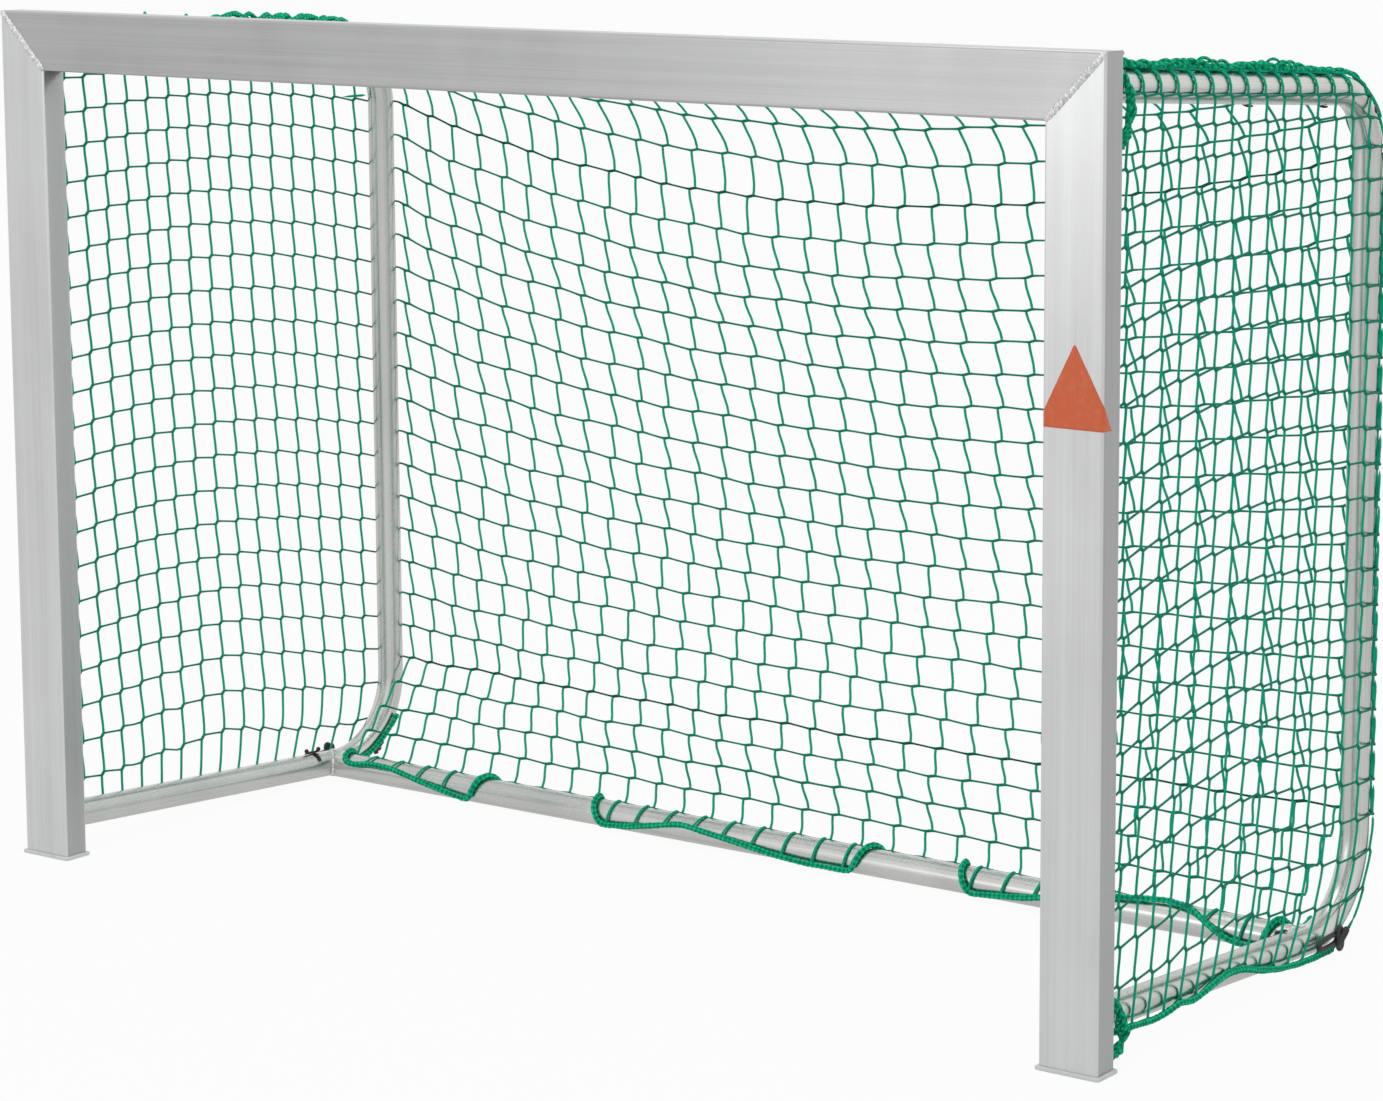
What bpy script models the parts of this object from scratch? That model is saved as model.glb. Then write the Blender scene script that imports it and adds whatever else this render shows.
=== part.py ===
"""Small training goal: a welded aluminium mouth, two bent side frames, a rear ground tube and a net.

Every piece is modelled with the front face of the mouth at Y = 0, the floor at Z = 0 and the goal
centred on X. One empty then moves all of it so that the whole goal is centred on Y too.
"""

import math

import bmesh
import bpy
from mathutils import Matrix, Vector

# Clear gap left between two pieces that touch, in metres like every length below.
GAP = 0.0003

# Mouth: two posts and a crossbar of one rectangular profile, mitred and welded.
OPENING_WIDTH = 1.600
OPENING_HEIGHT = 1.100
PROFILE_WIDTH = 0.080
PROFILE_DEPTH = 0.038
PROFILE_WALL = 0.0025
PROFILE_CORNER = 0.003
CORNER_WELD_WIDTH = 0.0065
CORNER_WELD_HEIGHT = 0.0018
CORNER_WELD_INSET = 0.006
CORNER_WELD_RIPPLE = 0.0045

# Foot caps: a plate under each post, with a plug that fills the profile's mouth.
CAP_PLATE = 0.005
CAP_LIP = 0.004
CAP_PLUG_HEIGHT = 0.022
CAP_PLUG_WALL = 0.003

# Side frames: one tube each, bent twice, and tilted down towards the back.
TUBE_DIAMETER = 0.038
TUBE_WALL = 0.002
TUBE_INSET = 0.046
UPRIGHT_SETBACK = 0.715
ARM_TILT = math.radians(3.55)
TOP_ARM_DEPTH = 0.0414
TOP_BEND_RADIUS = 0.085
BOTTOM_BEND_RADIUS = 0.120
BEND_STEPS = 8
SOCKET_HEIGHT = 0.056
SOCKET_WIDTH = 0.046
SOCKET_LENGTH = 0.018
SOCKET_CORNER = 0.003
ARM_WELD_SIZE = 0.004

# Ground tube, welded between the lower arms just ahead of their bends.
GROUND_DIAMETER = 0.038
GROUND_AHEAD = 0.016

# Net: panels of square mesh hung outside the tubes, with a border rope round the mouth and the foot.
NET_THICKNESS = 0.003
NET_STRAND = 0.005
NET_COLUMNS = 12
TOP_ROWS = 4
BEND_ROWS = 3
BACK_ROWS = 8
SKIRT_ROWS = 1
SIDE_COLUMNS = 6
SIDE_ROWS = 7
TOP_SAG = 0.060
FOLD_PULL = 0.030
SIDE_BULGE = 0.008
SIDE_ARCH = 0.030
SIDE_HEM_DROP = 0.007
SKIRT_ANGLE = math.radians(50)
ROPE_DIAMETER = 0.008
ROPE_TURN = 0.010
MOUTH_ROPE_FOOT = 0.024

# Black plastic hooks on the mouth and clips on the tubes.
HOOK_PLATE = 0.0025
HOOK_SIZE = 0.011
HOOK_WIRE = 0.0035
CROSSBAR_HOOKS = 5
POST_HOOKS = 3
CLIP_WALL = 0.0028
CLIP_LENGTH = 0.010
CLIP_LOBE_DIAMETER = 0.008
CLIP_LOBE_HEIGHT = 0.009
TOP_CLIPS_AHEAD = (0.220, 0.030)
TOP_CLIP_TURN = 50
ARM_CLIP_AHEAD = 0.060
ARM_CLIP_TURNS = (0, 60)
BEND_CLIP_SHARES = (0.42, 0.32)
BEND_CLIP_TURNS = (0, 35)

# Where the foot rope lies along the ground tube: the share of the way from the goal's middle to a
# side tube, and its angle from the top of the tube towards the mouth in degrees. It dips in front,
# climbs over and runs behind by turns.
GROUND_LACING = (
    (-0.966, -85),
    (-0.962, -60),
    (-0.957, 0),
    (-0.950, 55),
    (-0.925, 66),
    (-0.895, 52),
    (-0.839, 53),
    (-0.771, 77),
    (-0.716, 97),
    (-0.653, 120),
    (-0.618, 60),
    (-0.588, -20),
    (-0.552, -95),
    (-0.444, -95),
    (-0.414, -20),
    (-0.384, 60),
    (-0.355, 118),
    (-0.296, 106),
    (-0.180, 63),
    (-0.067, 87),
    (0.011, 108),
    (0.072, 120),
    (0.173, 120),
    (0.204, 50),
    (0.230, -30),
    (0.264, -95),
    (0.324, -95),
    (0.350, -30),
    (0.376, 50),
    (0.403, 120),
    (0.514, 96),
    (0.657, 45),
    (0.765, 12),
    (0.811, 30),
    (0.855, 81),
    (0.885, 112),
    (0.905, 120),
    (0.940, 120),
    (0.950, 55),
    (0.957, 0),
    (0.962, -60),
    (0.966, -85),
)

# Where it lies along a lower arm: the setback, and the angle from the underside towards the
# outside of the goal in degrees.
ARM_LACING = (
    (0.110, 55),
    (0.175, 46),
    (0.220, 75),
    (0.255, 66),
    (0.295, 90),
    (0.335, 105),
    (0.375, 102),
    (0.415, 83),
    (0.470, 65),
    (0.530, 55),
    (0.580, 58),
)

# Where that rope ends on the bend: the share of the bend done, and the angle from the outer side
# of the bend towards the outside of the goal in degrees.
ARM_ROPE_END = (
    (0.09, 62),
    (0.18, 58),
    (0.27, 55),
)

# The same for the ground tube's rope, on the inside of the left bend and of the right one.
GROUND_ROPE_ENDS = (
    ((0.68, -78), (0.50, -90), (0.34, -90), (0.20, -90)),
    ((0.32, -90), (0.20, -90)),
)

# Sizes that follow from those above.
FRAME_WIDTH = OPENING_WIDTH + 2 * PROFILE_WIDTH
FRAME_HEIGHT = OPENING_HEIGHT + PROFILE_WIDTH
HALF_WIDTH = FRAME_WIDTH / 2
TUBE_RADIUS = TUBE_DIAMETER / 2
GROUND_RADIUS = GROUND_DIAMETER / 2
ROPE_RADIUS = ROPE_DIAMETER / 2
SIDE_X = HALF_WIDTH - TUBE_INSET
TOP_ARM_HEIGHT = FRAME_HEIGHT - TOP_ARM_DEPTH
TOP_BEND_Y = UPRIGHT_SETBACK - TOP_BEND_RADIUS
BOTTOM_BEND_Y = UPRIGHT_SETBACK - BOTTOM_BEND_RADIUS
BOTTOM_BEND_Z = TUBE_RADIUS + BOTTOM_BEND_RADIUS
GROUND_SETBACK = BOTTOM_BEND_Y - GROUND_AHEAD
ARM_DROP = math.tan(ARM_TILT)
TOP_BEND_Z = (
    TOP_ARM_HEIGHT - ARM_DROP * (TOP_BEND_Y - PROFILE_DEPTH) - TOP_BEND_RADIUS / math.cos(ARM_TILT)
)
BOTTOM_ARM_HEIGHT = (
    BOTTOM_BEND_Z + ARM_DROP * (BOTTOM_BEND_Y - PROFILE_DEPTH) - BOTTOM_BEND_RADIUS / math.cos(ARM_TILT)
)
ROPE_X = SIDE_X + SOCKET_WIDTH / 2 + GAP + ROPE_RADIUS + ROPE_TURN / 3
ROPE_Y = PROFILE_DEPTH + GAP + HOOK_PLATE + GAP + ROPE_RADIUS
ROPE_Z = TOP_ARM_HEIGHT + SOCKET_HEIGHT / 2 + GAP + ROPE_RADIUS + ROPE_TURN / 3
ROPE_ROOM = TUBE_RADIUS + ROPE_RADIUS + 4 * GAP
ARM_ROPE_ROOM = ROPE_ROOM + NET_THICKNESS + 4 * GAP
HOOK_REACH = ROPE_Y - PROFILE_DEPTH + ROPE_RADIUS + HOOK_WIRE + 2 * GAP
NET_FRONT_Y = PROFILE_DEPTH + max(SOCKET_LENGTH + 2 * GAP, HOOK_REACH) + NET_THICKNESS / 2
NET_X = SIDE_X + TUBE_RADIUS + GAP + NET_THICKNESS / 2
BACK_Y = UPRIGHT_SETBACK + TUBE_RADIUS + GAP + NET_THICKNESS / 2
FOLD_CHORD = (math.pi / 2 - ARM_TILT) / BEND_ROWS
FOLD_RADIUS = (TOP_BEND_RADIUS + TUBE_RADIUS + GAP) / math.cos(FOLD_CHORD / 2) + NET_THICKNESS / 2
TOTAL_DEPTH = CAP_LIP + TOP_BEND_Y + FOLD_RADIUS + NET_THICKNESS / 2
GOAL_Y = CAP_LIP - TOTAL_DEPTH / 2


def clear_scene():
    for obj in list(bpy.data.objects):
        bpy.data.objects.remove(obj, do_unlink=True)


def new_collection(name):
    collection = bpy.data.collections.new(name)
    bpy.context.scene.collection.children.link(collection)
    return collection


def new_material(name, colour, roughness, metallic=0.0):
    material = bpy.data.materials.new(name)
    material.use_nodes = True
    shader = material.node_tree.nodes["Principled BSDF"]
    shader.inputs["Base Color"].default_value = (*colour, 1.0)
    shader.inputs["Roughness"].default_value = roughness
    shader.inputs["Metallic"].default_value = metallic
    material.diffuse_color = (*colour, 1.0)
    return material


def add_object(name, data, collection, material=None):
    """Puts a mesh or curve into a collection, under the goal's empty."""
    obj = bpy.data.objects.new(name, data)
    collection.objects.link(obj)
    obj.parent = GOAL
    if material is not None:
        data.materials.clear()
        data.materials.append(material)
    return obj


def mesh_from(bm, name):
    bmesh.ops.recalc_face_normals(bm, faces=bm.faces)
    mesh = bpy.data.meshes.new(name)
    bm.to_mesh(mesh)
    bm.free()
    return mesh


def shade(obj, angle=40):
    obj.data.shade_smooth()
    obj.data.set_sharp_from_angle(angle=math.radians(angle))
    return obj


def add_part(name, mesh, material, smooth=True):
    obj = add_object(name, mesh, PARTS, material)
    return shade(obj) if smooth else obj


def add_cutter(name, mesh):
    obj = add_object(name, mesh, CUTTERS)
    obj.hide_render = True
    obj.display_type = "WIRE"
    return obj


def boolean(obj, cutter, operation="DIFFERENCE"):
    modifier = obj.modifiers.new(f"{operation.lower()} {cutter.name}", "BOOLEAN")
    modifier.object = cutter
    modifier.operation = operation
    modifier.solver = "EXACT"
    return modifier


def box_mesh(name, low, high, corner=0.0, along=None, segments=3):
    """A box between two corners. A corner radius rounds the four edges that run along one axis."""
    low, high = Vector(low), Vector(high)
    bm = bmesh.new()
    bmesh.ops.create_cube(bm, size=1.0)
    bmesh.ops.scale(bm, vec=high - low, verts=bm.verts)
    bmesh.ops.translate(bm, vec=(low + high) / 2, verts=bm.verts)
    if corner > 0.0:
        edges = [
            edge
            for edge in bm.edges
            if along is None or abs((edge.verts[0].co - edge.verts[1].co)[along]) > 1e-6
        ]
        bmesh.ops.bevel(
            bm, geom=edges, offset=corner, segments=segments, profile=0.5, affect="EDGES"
        )
    return mesh_from(bm, name)


def rod_mesh(name, start, end, radius, sides=24):
    """A straight round bar between two points."""
    start, end = Vector(start), Vector(end)
    bm = bmesh.new()
    bmesh.ops.create_cone(
        bm, cap_ends=True, segments=sides, radius1=radius, radius2=radius, depth=(end - start).length
    )
    turn = (end - start).to_track_quat("Z", "Y").to_matrix().to_4x4()
    bmesh.ops.transform(bm, matrix=Matrix.Translation((start + end) / 2) @ turn, verts=bm.verts)
    return mesh_from(bm, name)


def swept_mesh(name, points, radius, resolution, radii=None, cyclic=False):
    """A round section drawn along points, as a mesh whose end caps are welded on."""
    curve = bpy.data.curves.new(name, "CURVE")
    curve.dimensions = "3D"
    curve.bevel_depth = radius
    curve.bevel_resolution = resolution
    curve.use_fill_caps = not cyclic
    spline = curve.splines.new("POLY")
    spline.points.add(len(points) - 1)
    for index, point in enumerate(points):
        spline.points[index].co = (*point, 1.0)
        spline.points[index].radius = radii[index] if radii else 1.0
    spline.use_cyclic_u = cyclic
    guide = bpy.data.objects.new(name + "_guide", curve)
    CUTTERS.objects.link(guide)
    bpy.context.view_layer.update()
    graph = bpy.context.evaluated_depsgraph_get()
    mesh = bpy.data.meshes.new_from_object(guide.evaluated_get(graph))
    bpy.data.objects.remove(guide, do_unlink=True)
    bpy.data.curves.remove(curve)
    bm = bmesh.new()
    bm.from_mesh(mesh)
    bpy.data.meshes.remove(mesh)
    bmesh.ops.remove_doubles(bm, verts=bm.verts, dist=1e-5)
    return mesh_from(bm, name)


def bend_point(centre_y, centre_z, radius, angle):
    """A point (y, z) on a bend, with the angle measured from straight up towards the back."""
    return centre_y + radius * math.sin(angle), centre_z + radius * math.cos(angle)


def top_outline(offset, steps=BEND_STEPS):
    """The upper arm and bend, from the mouth back, moved out from the tube's axis by an offset."""
    front = TOP_ARM_HEIGHT + offset / math.cos(ARM_TILT)
    points = [(PROFILE_DEPTH, front)]
    for step in range(steps + 1):
        angle = ARM_TILT + (math.pi / 2 - ARM_TILT) * step / steps
        points.append(bend_point(TOP_BEND_Y, TOP_BEND_Z, TOP_BEND_RADIUS + offset, angle))
    return points


def bottom_outline(offset, end_offset=None, steps=BEND_STEPS):
    """The lower arm and bend, from the mouth back, moved out from the tube's axis by an offset."""
    end_offset = offset if end_offset is None else end_offset
    points = [(PROFILE_DEPTH, BOTTOM_ARM_HEIGHT - offset / math.cos(ARM_TILT))]
    for step in range(steps + 1):
        share = step / steps
        angle = math.pi + ARM_TILT - (math.pi / 2 + ARM_TILT) * share
        out = offset + (end_offset - offset) * max(0.0, 3 * share - 2)
        points.append(bend_point(BOTTOM_BEND_Y, BOTTOM_BEND_Z, BOTTOM_BEND_RADIUS + out, angle))
    return points


def along(points, share):
    """The point at a share of an outline's length."""
    points = [Vector(point) for point in points]
    lengths = [(b - a).length for a, b in zip(points, points[1:])]
    rest = share * sum(lengths)
    for (a, b), length in zip(zip(points, points[1:]), lengths):
        if rest <= length:
            return a + (b - a) * (rest / length)
        rest -= length
    return points[-1]


def profile_mesh(name, low, high, axis, inset=0.0):
    """A bar of the mouth's rounded profile, or its hollow where an inset is given."""
    low, high = Vector(low), Vector(high)
    for i in range(3):
        if i != axis:
            low[i] += inset
            high[i] -= inset
    corner = max(PROFILE_CORNER - inset, 0.0006)
    return box_mesh(name, low, high, corner, axis, segments=3 if inset == 0.0 else 1)


def mitre_cutter(name, side, keep_post):
    """A block whose slanted face runs through one mouth corner at 45 degrees."""
    size = 0.4
    outer = Vector((side * HALF_WIDTH, 0.0, FRAME_HEIGHT))
    normal = Vector((-side, 0.0, 1.0)) if keep_post else Vector((side, 0.0, -1.0))
    normal.normalize()
    bm = bmesh.new()
    bmesh.ops.create_cube(bm, size=size)
    turn = normal.to_track_quat("X", "Y").to_matrix().to_4x4()
    place = Matrix.Translation(outer + normal * (size / 2 - GAP / 2))
    bmesh.ops.transform(bm, matrix=place @ turn, verts=bm.verts)
    return add_cutter(name, mesh_from(bm, name))


def build_mouth(metal):
    """Two posts and the crossbar, hollow, mitred where they meet."""
    over = 0.01
    for side, label in ((-1, "left"), (1, "right")):
        outer_x, inner_x = side * HALF_WIDTH, side * (HALF_WIDTH - PROFILE_WIDTH)
        low = (min(outer_x, inner_x), 0.0, CAP_PLATE + GAP)
        high = (max(outer_x, inner_x), PROFILE_DEPTH, FRAME_HEIGHT)
        post = add_part(f"post_{label}", profile_mesh(f"post_{label}", low, high, 2), metal)
        low, high = (low[0], low[1], low[2] - over), (high[0], high[1], high[2] + over)
        hollow = profile_mesh(f"post_{label}_hollow", low, high, 2, PROFILE_WALL)
        boolean(post, add_cutter(f"post_{label}_hollow", hollow))
        boolean(post, mitre_cutter(f"post_{label}_mitre", side, keep_post=True))

    low = (-HALF_WIDTH, 0.0, FRAME_HEIGHT - PROFILE_WIDTH)
    high = (HALF_WIDTH, PROFILE_DEPTH, FRAME_HEIGHT)
    bar = add_part("crossbar", profile_mesh("crossbar", low, high, 0), metal)
    low, high = (low[0] - over, low[1], low[2]), (high[0] + over, high[1], high[2])
    boolean(bar, add_cutter("crossbar_hollow", profile_mesh("bar_hollow", low, high, 0, PROFILE_WALL)))
    for side, label in ((-1, "left"), (1, "right")):
        boolean(bar, mitre_cutter(f"crossbar_mitre_{label}", side, keep_post=False))


def build_corner_welds(weld_metal):
    """The rippled bead along each mitre on the front face."""
    inner = Vector((HALF_WIDTH - PROFILE_WIDTH, 0.0, FRAME_HEIGHT - PROFILE_WIDTH))
    outer = Vector((HALF_WIDTH, 0.0, FRAME_HEIGHT))
    step = (outer - inner).normalized()
    start, end = inner + step * CORNER_WELD_INSET, outer - step * CORNER_WELD_INSET
    ripples = round((end - start).length / CORNER_WELD_RIPPLE)
    points = [start.lerp(end, i / (2 * ripples)) for i in range(2 * ripples + 1)]
    radii = [0.80 if i % 2 else 1.0 for i in range(2 * ripples + 1)]
    for side, label in ((-1, "left"), (1, "right")):
        line = [Vector((side * point.x, point.y, point.z)) for point in points]
        name = f"corner_weld_{label}"
        mesh = swept_mesh(name, line, CORNER_WELD_WIDTH / 2, 1, radii)
        flat = CORNER_WELD_HEIGHT / (CORNER_WELD_WIDTH / 2)
        mesh.transform(Matrix.Diagonal((1.0, flat, 1.0, 1.0)))
        bead = add_part(name, mesh, weld_metal)
        low = (side * HALF_WIDTH - PROFILE_WIDTH * 1.5, -GAP, FRAME_HEIGHT - PROFILE_WIDTH * 1.5)
        high = (side * HALF_WIDTH + PROFILE_WIDTH * 1.5, PROFILE_WIDTH, FRAME_HEIGHT + PROFILE_WIDTH)
        boolean(bead, add_cutter(name + "_face", box_mesh(name + "_face", low, high)))


def build_foot_caps(plastic):
    """A plate under each post with a hollow plug standing up inside the profile."""
    for side, label in ((-1, "left"), (1, "right")):
        middle = side * (HALF_WIDTH - PROFILE_WIDTH / 2)
        half = PROFILE_WIDTH / 2
        low = (middle - half - CAP_LIP, -CAP_LIP, 0.0)
        high = (middle + half + CAP_LIP, PROFILE_DEPTH + CAP_LIP, CAP_PLATE)
        name = f"foot_cap_{label}"
        plate = add_part(name, box_mesh(name, low, high, PROFILE_CORNER, 2), plastic)
        inset = PROFILE_WALL + GAP
        low = (middle - half + inset, inset, CAP_PLATE / 2)
        high = (middle + half - inset, PROFILE_DEPTH - inset, CAP_PLATE + CAP_PLUG_HEIGHT)
        plug = add_cutter(name + "_plug", box_mesh(name + "_plug", low, high, 0.001, 2, segments=1))
        boolean(plate, plug, "UNION")
        wall = CAP_PLUG_WALL
        low = (low[0] + wall, low[1] + wall, CAP_PLATE)
        high = (high[0] - wall, high[1] - wall, high[2] + wall)
        boolean(plate, add_cutter(name + "_well", box_mesh(name + "_well", low, high)))


def side_path(side, front=0.0):
    """The axis of one side tube, from the upper arm's front end round to the lower arm's."""
    top, bottom = top_outline(0.0), bottom_outline(0.0)
    path = top + bottom[::-1]
    rise = ARM_DROP * front
    path[0] = (path[0][0] - front, path[0][1] + rise)
    path[-1] = (path[-1][0] - front, path[-1][1] + rise)
    return [Vector((side * SIDE_X, y, z)) for y, z in path]


def tube_solid(name, side, extra, resolution=6):
    """A side tube grown or shrunk by a margin, long enough to pass through the post's rear face."""
    return swept_mesh(name, side_path(side, 0.03 + abs(extra)), TUBE_RADIUS + extra, resolution)


def build_side_frames(metal, weld_metal):
    """The bent tubes, the sockets that hold their upper ends and the welds of their lower ends."""
    for side, label in ((-1, "left"), (1, "right")):
        x = side * SIDE_X
        tube = add_part(f"side_tube_{label}", tube_solid(f"side_tube_{label}", side, 0.0), metal)
        bore = add_cutter(f"side_bore_{label}", tube_solid(f"side_bore_{label}", side, -TUBE_WALL))
        boolean(tube, bore)
        low = (x - 0.06, -0.06, -0.02)
        high = (x + 0.06, PROFILE_DEPTH + GAP, FRAME_HEIGHT + 0.06)
        face = add_cutter(f"post_face_{label}", box_mesh(f"post_face_{label}", low, high))
        boolean(tube, face)

        half = SOCKET_WIDTH / 2
        low = (x - half, PROFILE_DEPTH + GAP, TOP_ARM_HEIGHT - SOCKET_HEIGHT / 2)
        high = (x + half, PROFILE_DEPTH + GAP + SOCKET_LENGTH, TOP_ARM_HEIGHT + SOCKET_HEIGHT / 2)
        name = f"arm_socket_{label}"
        socket = add_part(name, box_mesh(name, low, high, SOCKET_CORNER, 1), metal)
        around = add_cutter(f"tube_room_{label}", tube_solid(f"tube_room_{label}", side, GAP))
        boolean(socket, around)

        name = f"arm_weld_{label}"
        centre = Vector((x, PROFILE_DEPTH, BOTTOM_ARM_HEIGHT))
        ring = ring_mesh(name, centre, TUBE_RADIUS + ARM_WELD_SIZE / 4, ARM_WELD_SIZE)
        bead = add_part(name, ring, weld_metal)
        boolean(bead, around)
        boolean(bead, face)


def ring_mesh(name, centre, ring_radius, bead_radius, steps=24):
    """A ring of round section about a line along Y."""
    points = []
    for step in range(steps):
        angle = 2 * math.pi * step / steps
        points.append(centre + ring_radius * Vector((math.cos(angle), 0.0, math.sin(angle))))
    return swept_mesh(name, points, bead_radius, 1, cyclic=True)


def build_ground_tube(metal):
    """The rear tube on the floor, coped to the lower arms and welded to them."""
    y, z = GROUND_SETBACK, GROUND_RADIUS
    reach = SIDE_X - GROUND_RADIUS * 0.1
    tube = rod_mesh("ground_tube", (-reach, y, z), (reach, y, z), GROUND_RADIUS, 20)
    tube = add_part("ground_tube", tube, metal)
    wide = SIDE_X + TUBE_DIAMETER
    bore = rod_mesh("ground_bore", (-wide, y, z), (wide, y, z), GROUND_RADIUS - TUBE_WALL, 20)
    boolean(tube, add_cutter("ground_bore", bore))
    for label in ("left", "right"):
        boolean(tube, CUTTERS.objects[f"tube_room_{label}"])


def even(low, high, count):
    return [low + (high - low) * step / count for step in range(count + 1)]


def net_panel(name, columns, rows, place, material):
    """A sheet of square mesh with strands at the given columns and rows, put in place by a function."""
    bm = bmesh.new()
    bmesh.ops.create_grid(bm, x_segments=len(columns) - 1, y_segments=len(rows) - 1, size=0.5)
    for vert in bm.verts:
        column = round((vert.co.x + 0.5) * (len(columns) - 1))
        row = round((vert.co.y + 0.5) * (len(rows) - 1))
        vert.co = (columns[column], rows[row], 0.0)
    gaps = list(bm.faces)
    bmesh.ops.inset_individual(bm, faces=gaps, thickness=NET_STRAND / 2, use_even_offset=True)
    bmesh.ops.delete(bm, geom=gaps, context="FACES")
    for vert in bm.verts:
        vert.co = place(vert.co.x, vert.co.y)
    panel = add_part(name, mesh_from(bm, name), material, smooth=False)
    solid = panel.modifiers.new("strand thickness", "SOLIDIFY")
    solid.thickness = NET_THICKNESS
    solid.offset = 0.0
    solid.use_even_offset = True
    return panel


def hump(share):
    """0 at both ends of a span and 1 in its middle."""
    return max(0.0, math.sin(math.pi * share))


def slack(x, depth):
    """How far the net hangs at x, where it is carried by the side frames and sags between them."""
    return depth * hump(0.5 + 0.5 * min(1.0, max(-1.0, x / (SIDE_X - TUBE_RADIUS - GAP)))) ** 0.8


def build_net(cord):
    """The net as sewn panels: top, rear fold, back, foot skirt and two sides."""
    half = NET_X + NET_THICKNESS / 2
    inside = SIDE_X - TUBE_RADIUS - GAP - NET_STRAND / 2
    columns = [-half, *even(-inside, inside, NET_COLUMNS - 2), half]
    wrap_angle = math.pi / 2 - ARM_TILT
    seam = 3 * GAP
    front_z = TOP_ARM_HEIGHT + SOCKET_HEIGHT / 2 + GAP + NET_THICKNESS / 2 + ROPE_RADIUS / 2
    fold_y, fold_z = bend_point(TOP_BEND_Y, TOP_BEND_Z, FOLD_RADIUS, ARM_TILT)
    length = fold_y - seam - NET_FRONT_Y

    def top(x, b):
        v = b / length
        y = NET_FRONT_Y + b
        over_arm = TOP_ARM_HEIGHT - ARM_DROP * (y - PROFILE_DEPTH) + (
            TUBE_RADIUS + NET_THICKNESS / 2 + 2 * GAP
        ) / math.cos(ARM_TILT)
        end_rise = fold_z + ARM_DROP * seam - (over_arm - ARM_DROP * (length - b))
        z = over_arm + (front_z - over_arm) * max(0.0, 1 - v * TOP_ROWS)
        z += end_rise * max(0.0, 1 - (1 - v) * TOP_ROWS)
        return Vector((x, y - slack(x, FOLD_PULL) * v, z - slack(x, TOP_SAG) * v))

    def fold(x, b):
        v = b / (FOLD_RADIUS * wrap_angle)
        y, z = bend_point(TOP_BEND_Y, TOP_BEND_Z, FOLD_RADIUS, ARM_TILT + wrap_angle * v)
        return Vector((x, y - slack(x, FOLD_PULL), z - slack(x, TOP_SAG)))

    low, high = BOTTOM_BEND_Z + TUBE_RADIUS, TOP_BEND_Z - seam

    def back(x, z):
        v = (z - low) / (high - low)
        lean = max(0.0, 1 - (1 - v) * BACK_ROWS) * (TOP_BEND_Y + FOLD_RADIUS - BACK_Y)
        return Vector((x, BACK_Y + lean - slack(x, FOLD_PULL) * v**2, z - slack(x, TOP_SAG) * v**1.3))

    skirt_top_y, skirt_top_z = BACK_Y, low - seam - NET_THICKNESS / 2
    away = GROUND_RADIUS + ROPE_DIAMETER + 5 * GAP + NET_THICKNESS / 2
    skirt_foot_y, skirt_foot_z = bend_point(GROUND_SETBACK, GROUND_RADIUS, away, SKIRT_ANGLE)
    skirt_length = math.hypot(skirt_top_y - skirt_foot_y, skirt_top_z - skirt_foot_z)

    def skirt(x, b):
        v = b / skirt_length
        y = skirt_foot_y + (skirt_top_y - skirt_foot_y) * v
        return Vector((x, y, skirt_foot_z + (skirt_top_z - skirt_foot_z) * v))

    skirt_half = SIDE_X - TUBE_RADIUS - ROPE_DIAMETER
    net_panel("net_top", columns, even(0.0, length, TOP_ROWS), top, cord)
    net_panel("net_fold", columns, even(0.0, FOLD_RADIUS * wrap_angle, BEND_ROWS), fold, cord)
    net_panel("net_back", columns, even(low, high, BACK_ROWS), back, cord)
    skirt_columns = even(-skirt_half, skirt_half, NET_COLUMNS)
    net_panel("net_skirt", skirt_columns, even(0.0, skirt_length, SKIRT_ROWS), skirt, cord)

    edge = TUBE_RADIUS - NET_THICKNESS / 2
    upper, lower = top_outline(edge), bottom_outline(SIDE_HEM_DROP, edge)
    for outline in (upper, lower):
        outline[0] = (NET_FRONT_Y, outline[0][1] - ARM_DROP * (NET_FRONT_Y - PROFILE_DEPTH))
    depth = BACK_Y - NET_FRONT_Y
    for side, label in ((-1, "left"), (1, "right")):

        def side_net(a, b, side=side):
            u, v = a / depth, b / OPENING_HEIGHT
            point = along(lower, u).lerp(along(upper, u), v)
            x = NET_X + SIDE_BULGE * hump(u) * hump(v)
            rise = SIDE_ARCH * hump(u) * hump(v) * (1 - v * 0.5)
            return Vector((side * x, point.x, point.y + rise))

        side_rows = even(0.0, OPENING_HEIGHT, SIDE_ROWS)
        net_panel(f"net_{label}", even(0.0, depth, SIDE_COLUMNS), side_rows, side_net, cord)


def turn_round(axis_point, outward, sideways, angle, room):
    """The rope's place beside a tube, at an angle from one direction towards another."""
    return axis_point + room * (math.cos(angle) * outward + math.sin(angle) * sideways)


def lace(controls, place, most_turn=30, most_step=0.09):
    """Rope points read between hand-set controls, closer together where the rope turns quickly."""
    points = [place(*controls[0])]
    for (a, turn_a), (b, turn_b) in zip(controls, controls[1:]):
        length = (place(b, turn_b) - place(a, turn_a)).length
        steps = max(math.ceil(abs(turn_b - turn_a) / most_turn), math.ceil(length / most_step))
        for step in range(1, steps + 1):
            share = step / steps
            points.append(place(a + (b - a) * share, turn_a + (turn_b - turn_a) * share))
    return points


def beside_ground(share, degrees):
    centre = Vector((share * SIDE_X, GROUND_SETBACK, GROUND_RADIUS))
    return turn_round(centre, Vector((0, 0, 1)), Vector((0, -1, 0)), math.radians(degrees), ROPE_ROOM)


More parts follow.
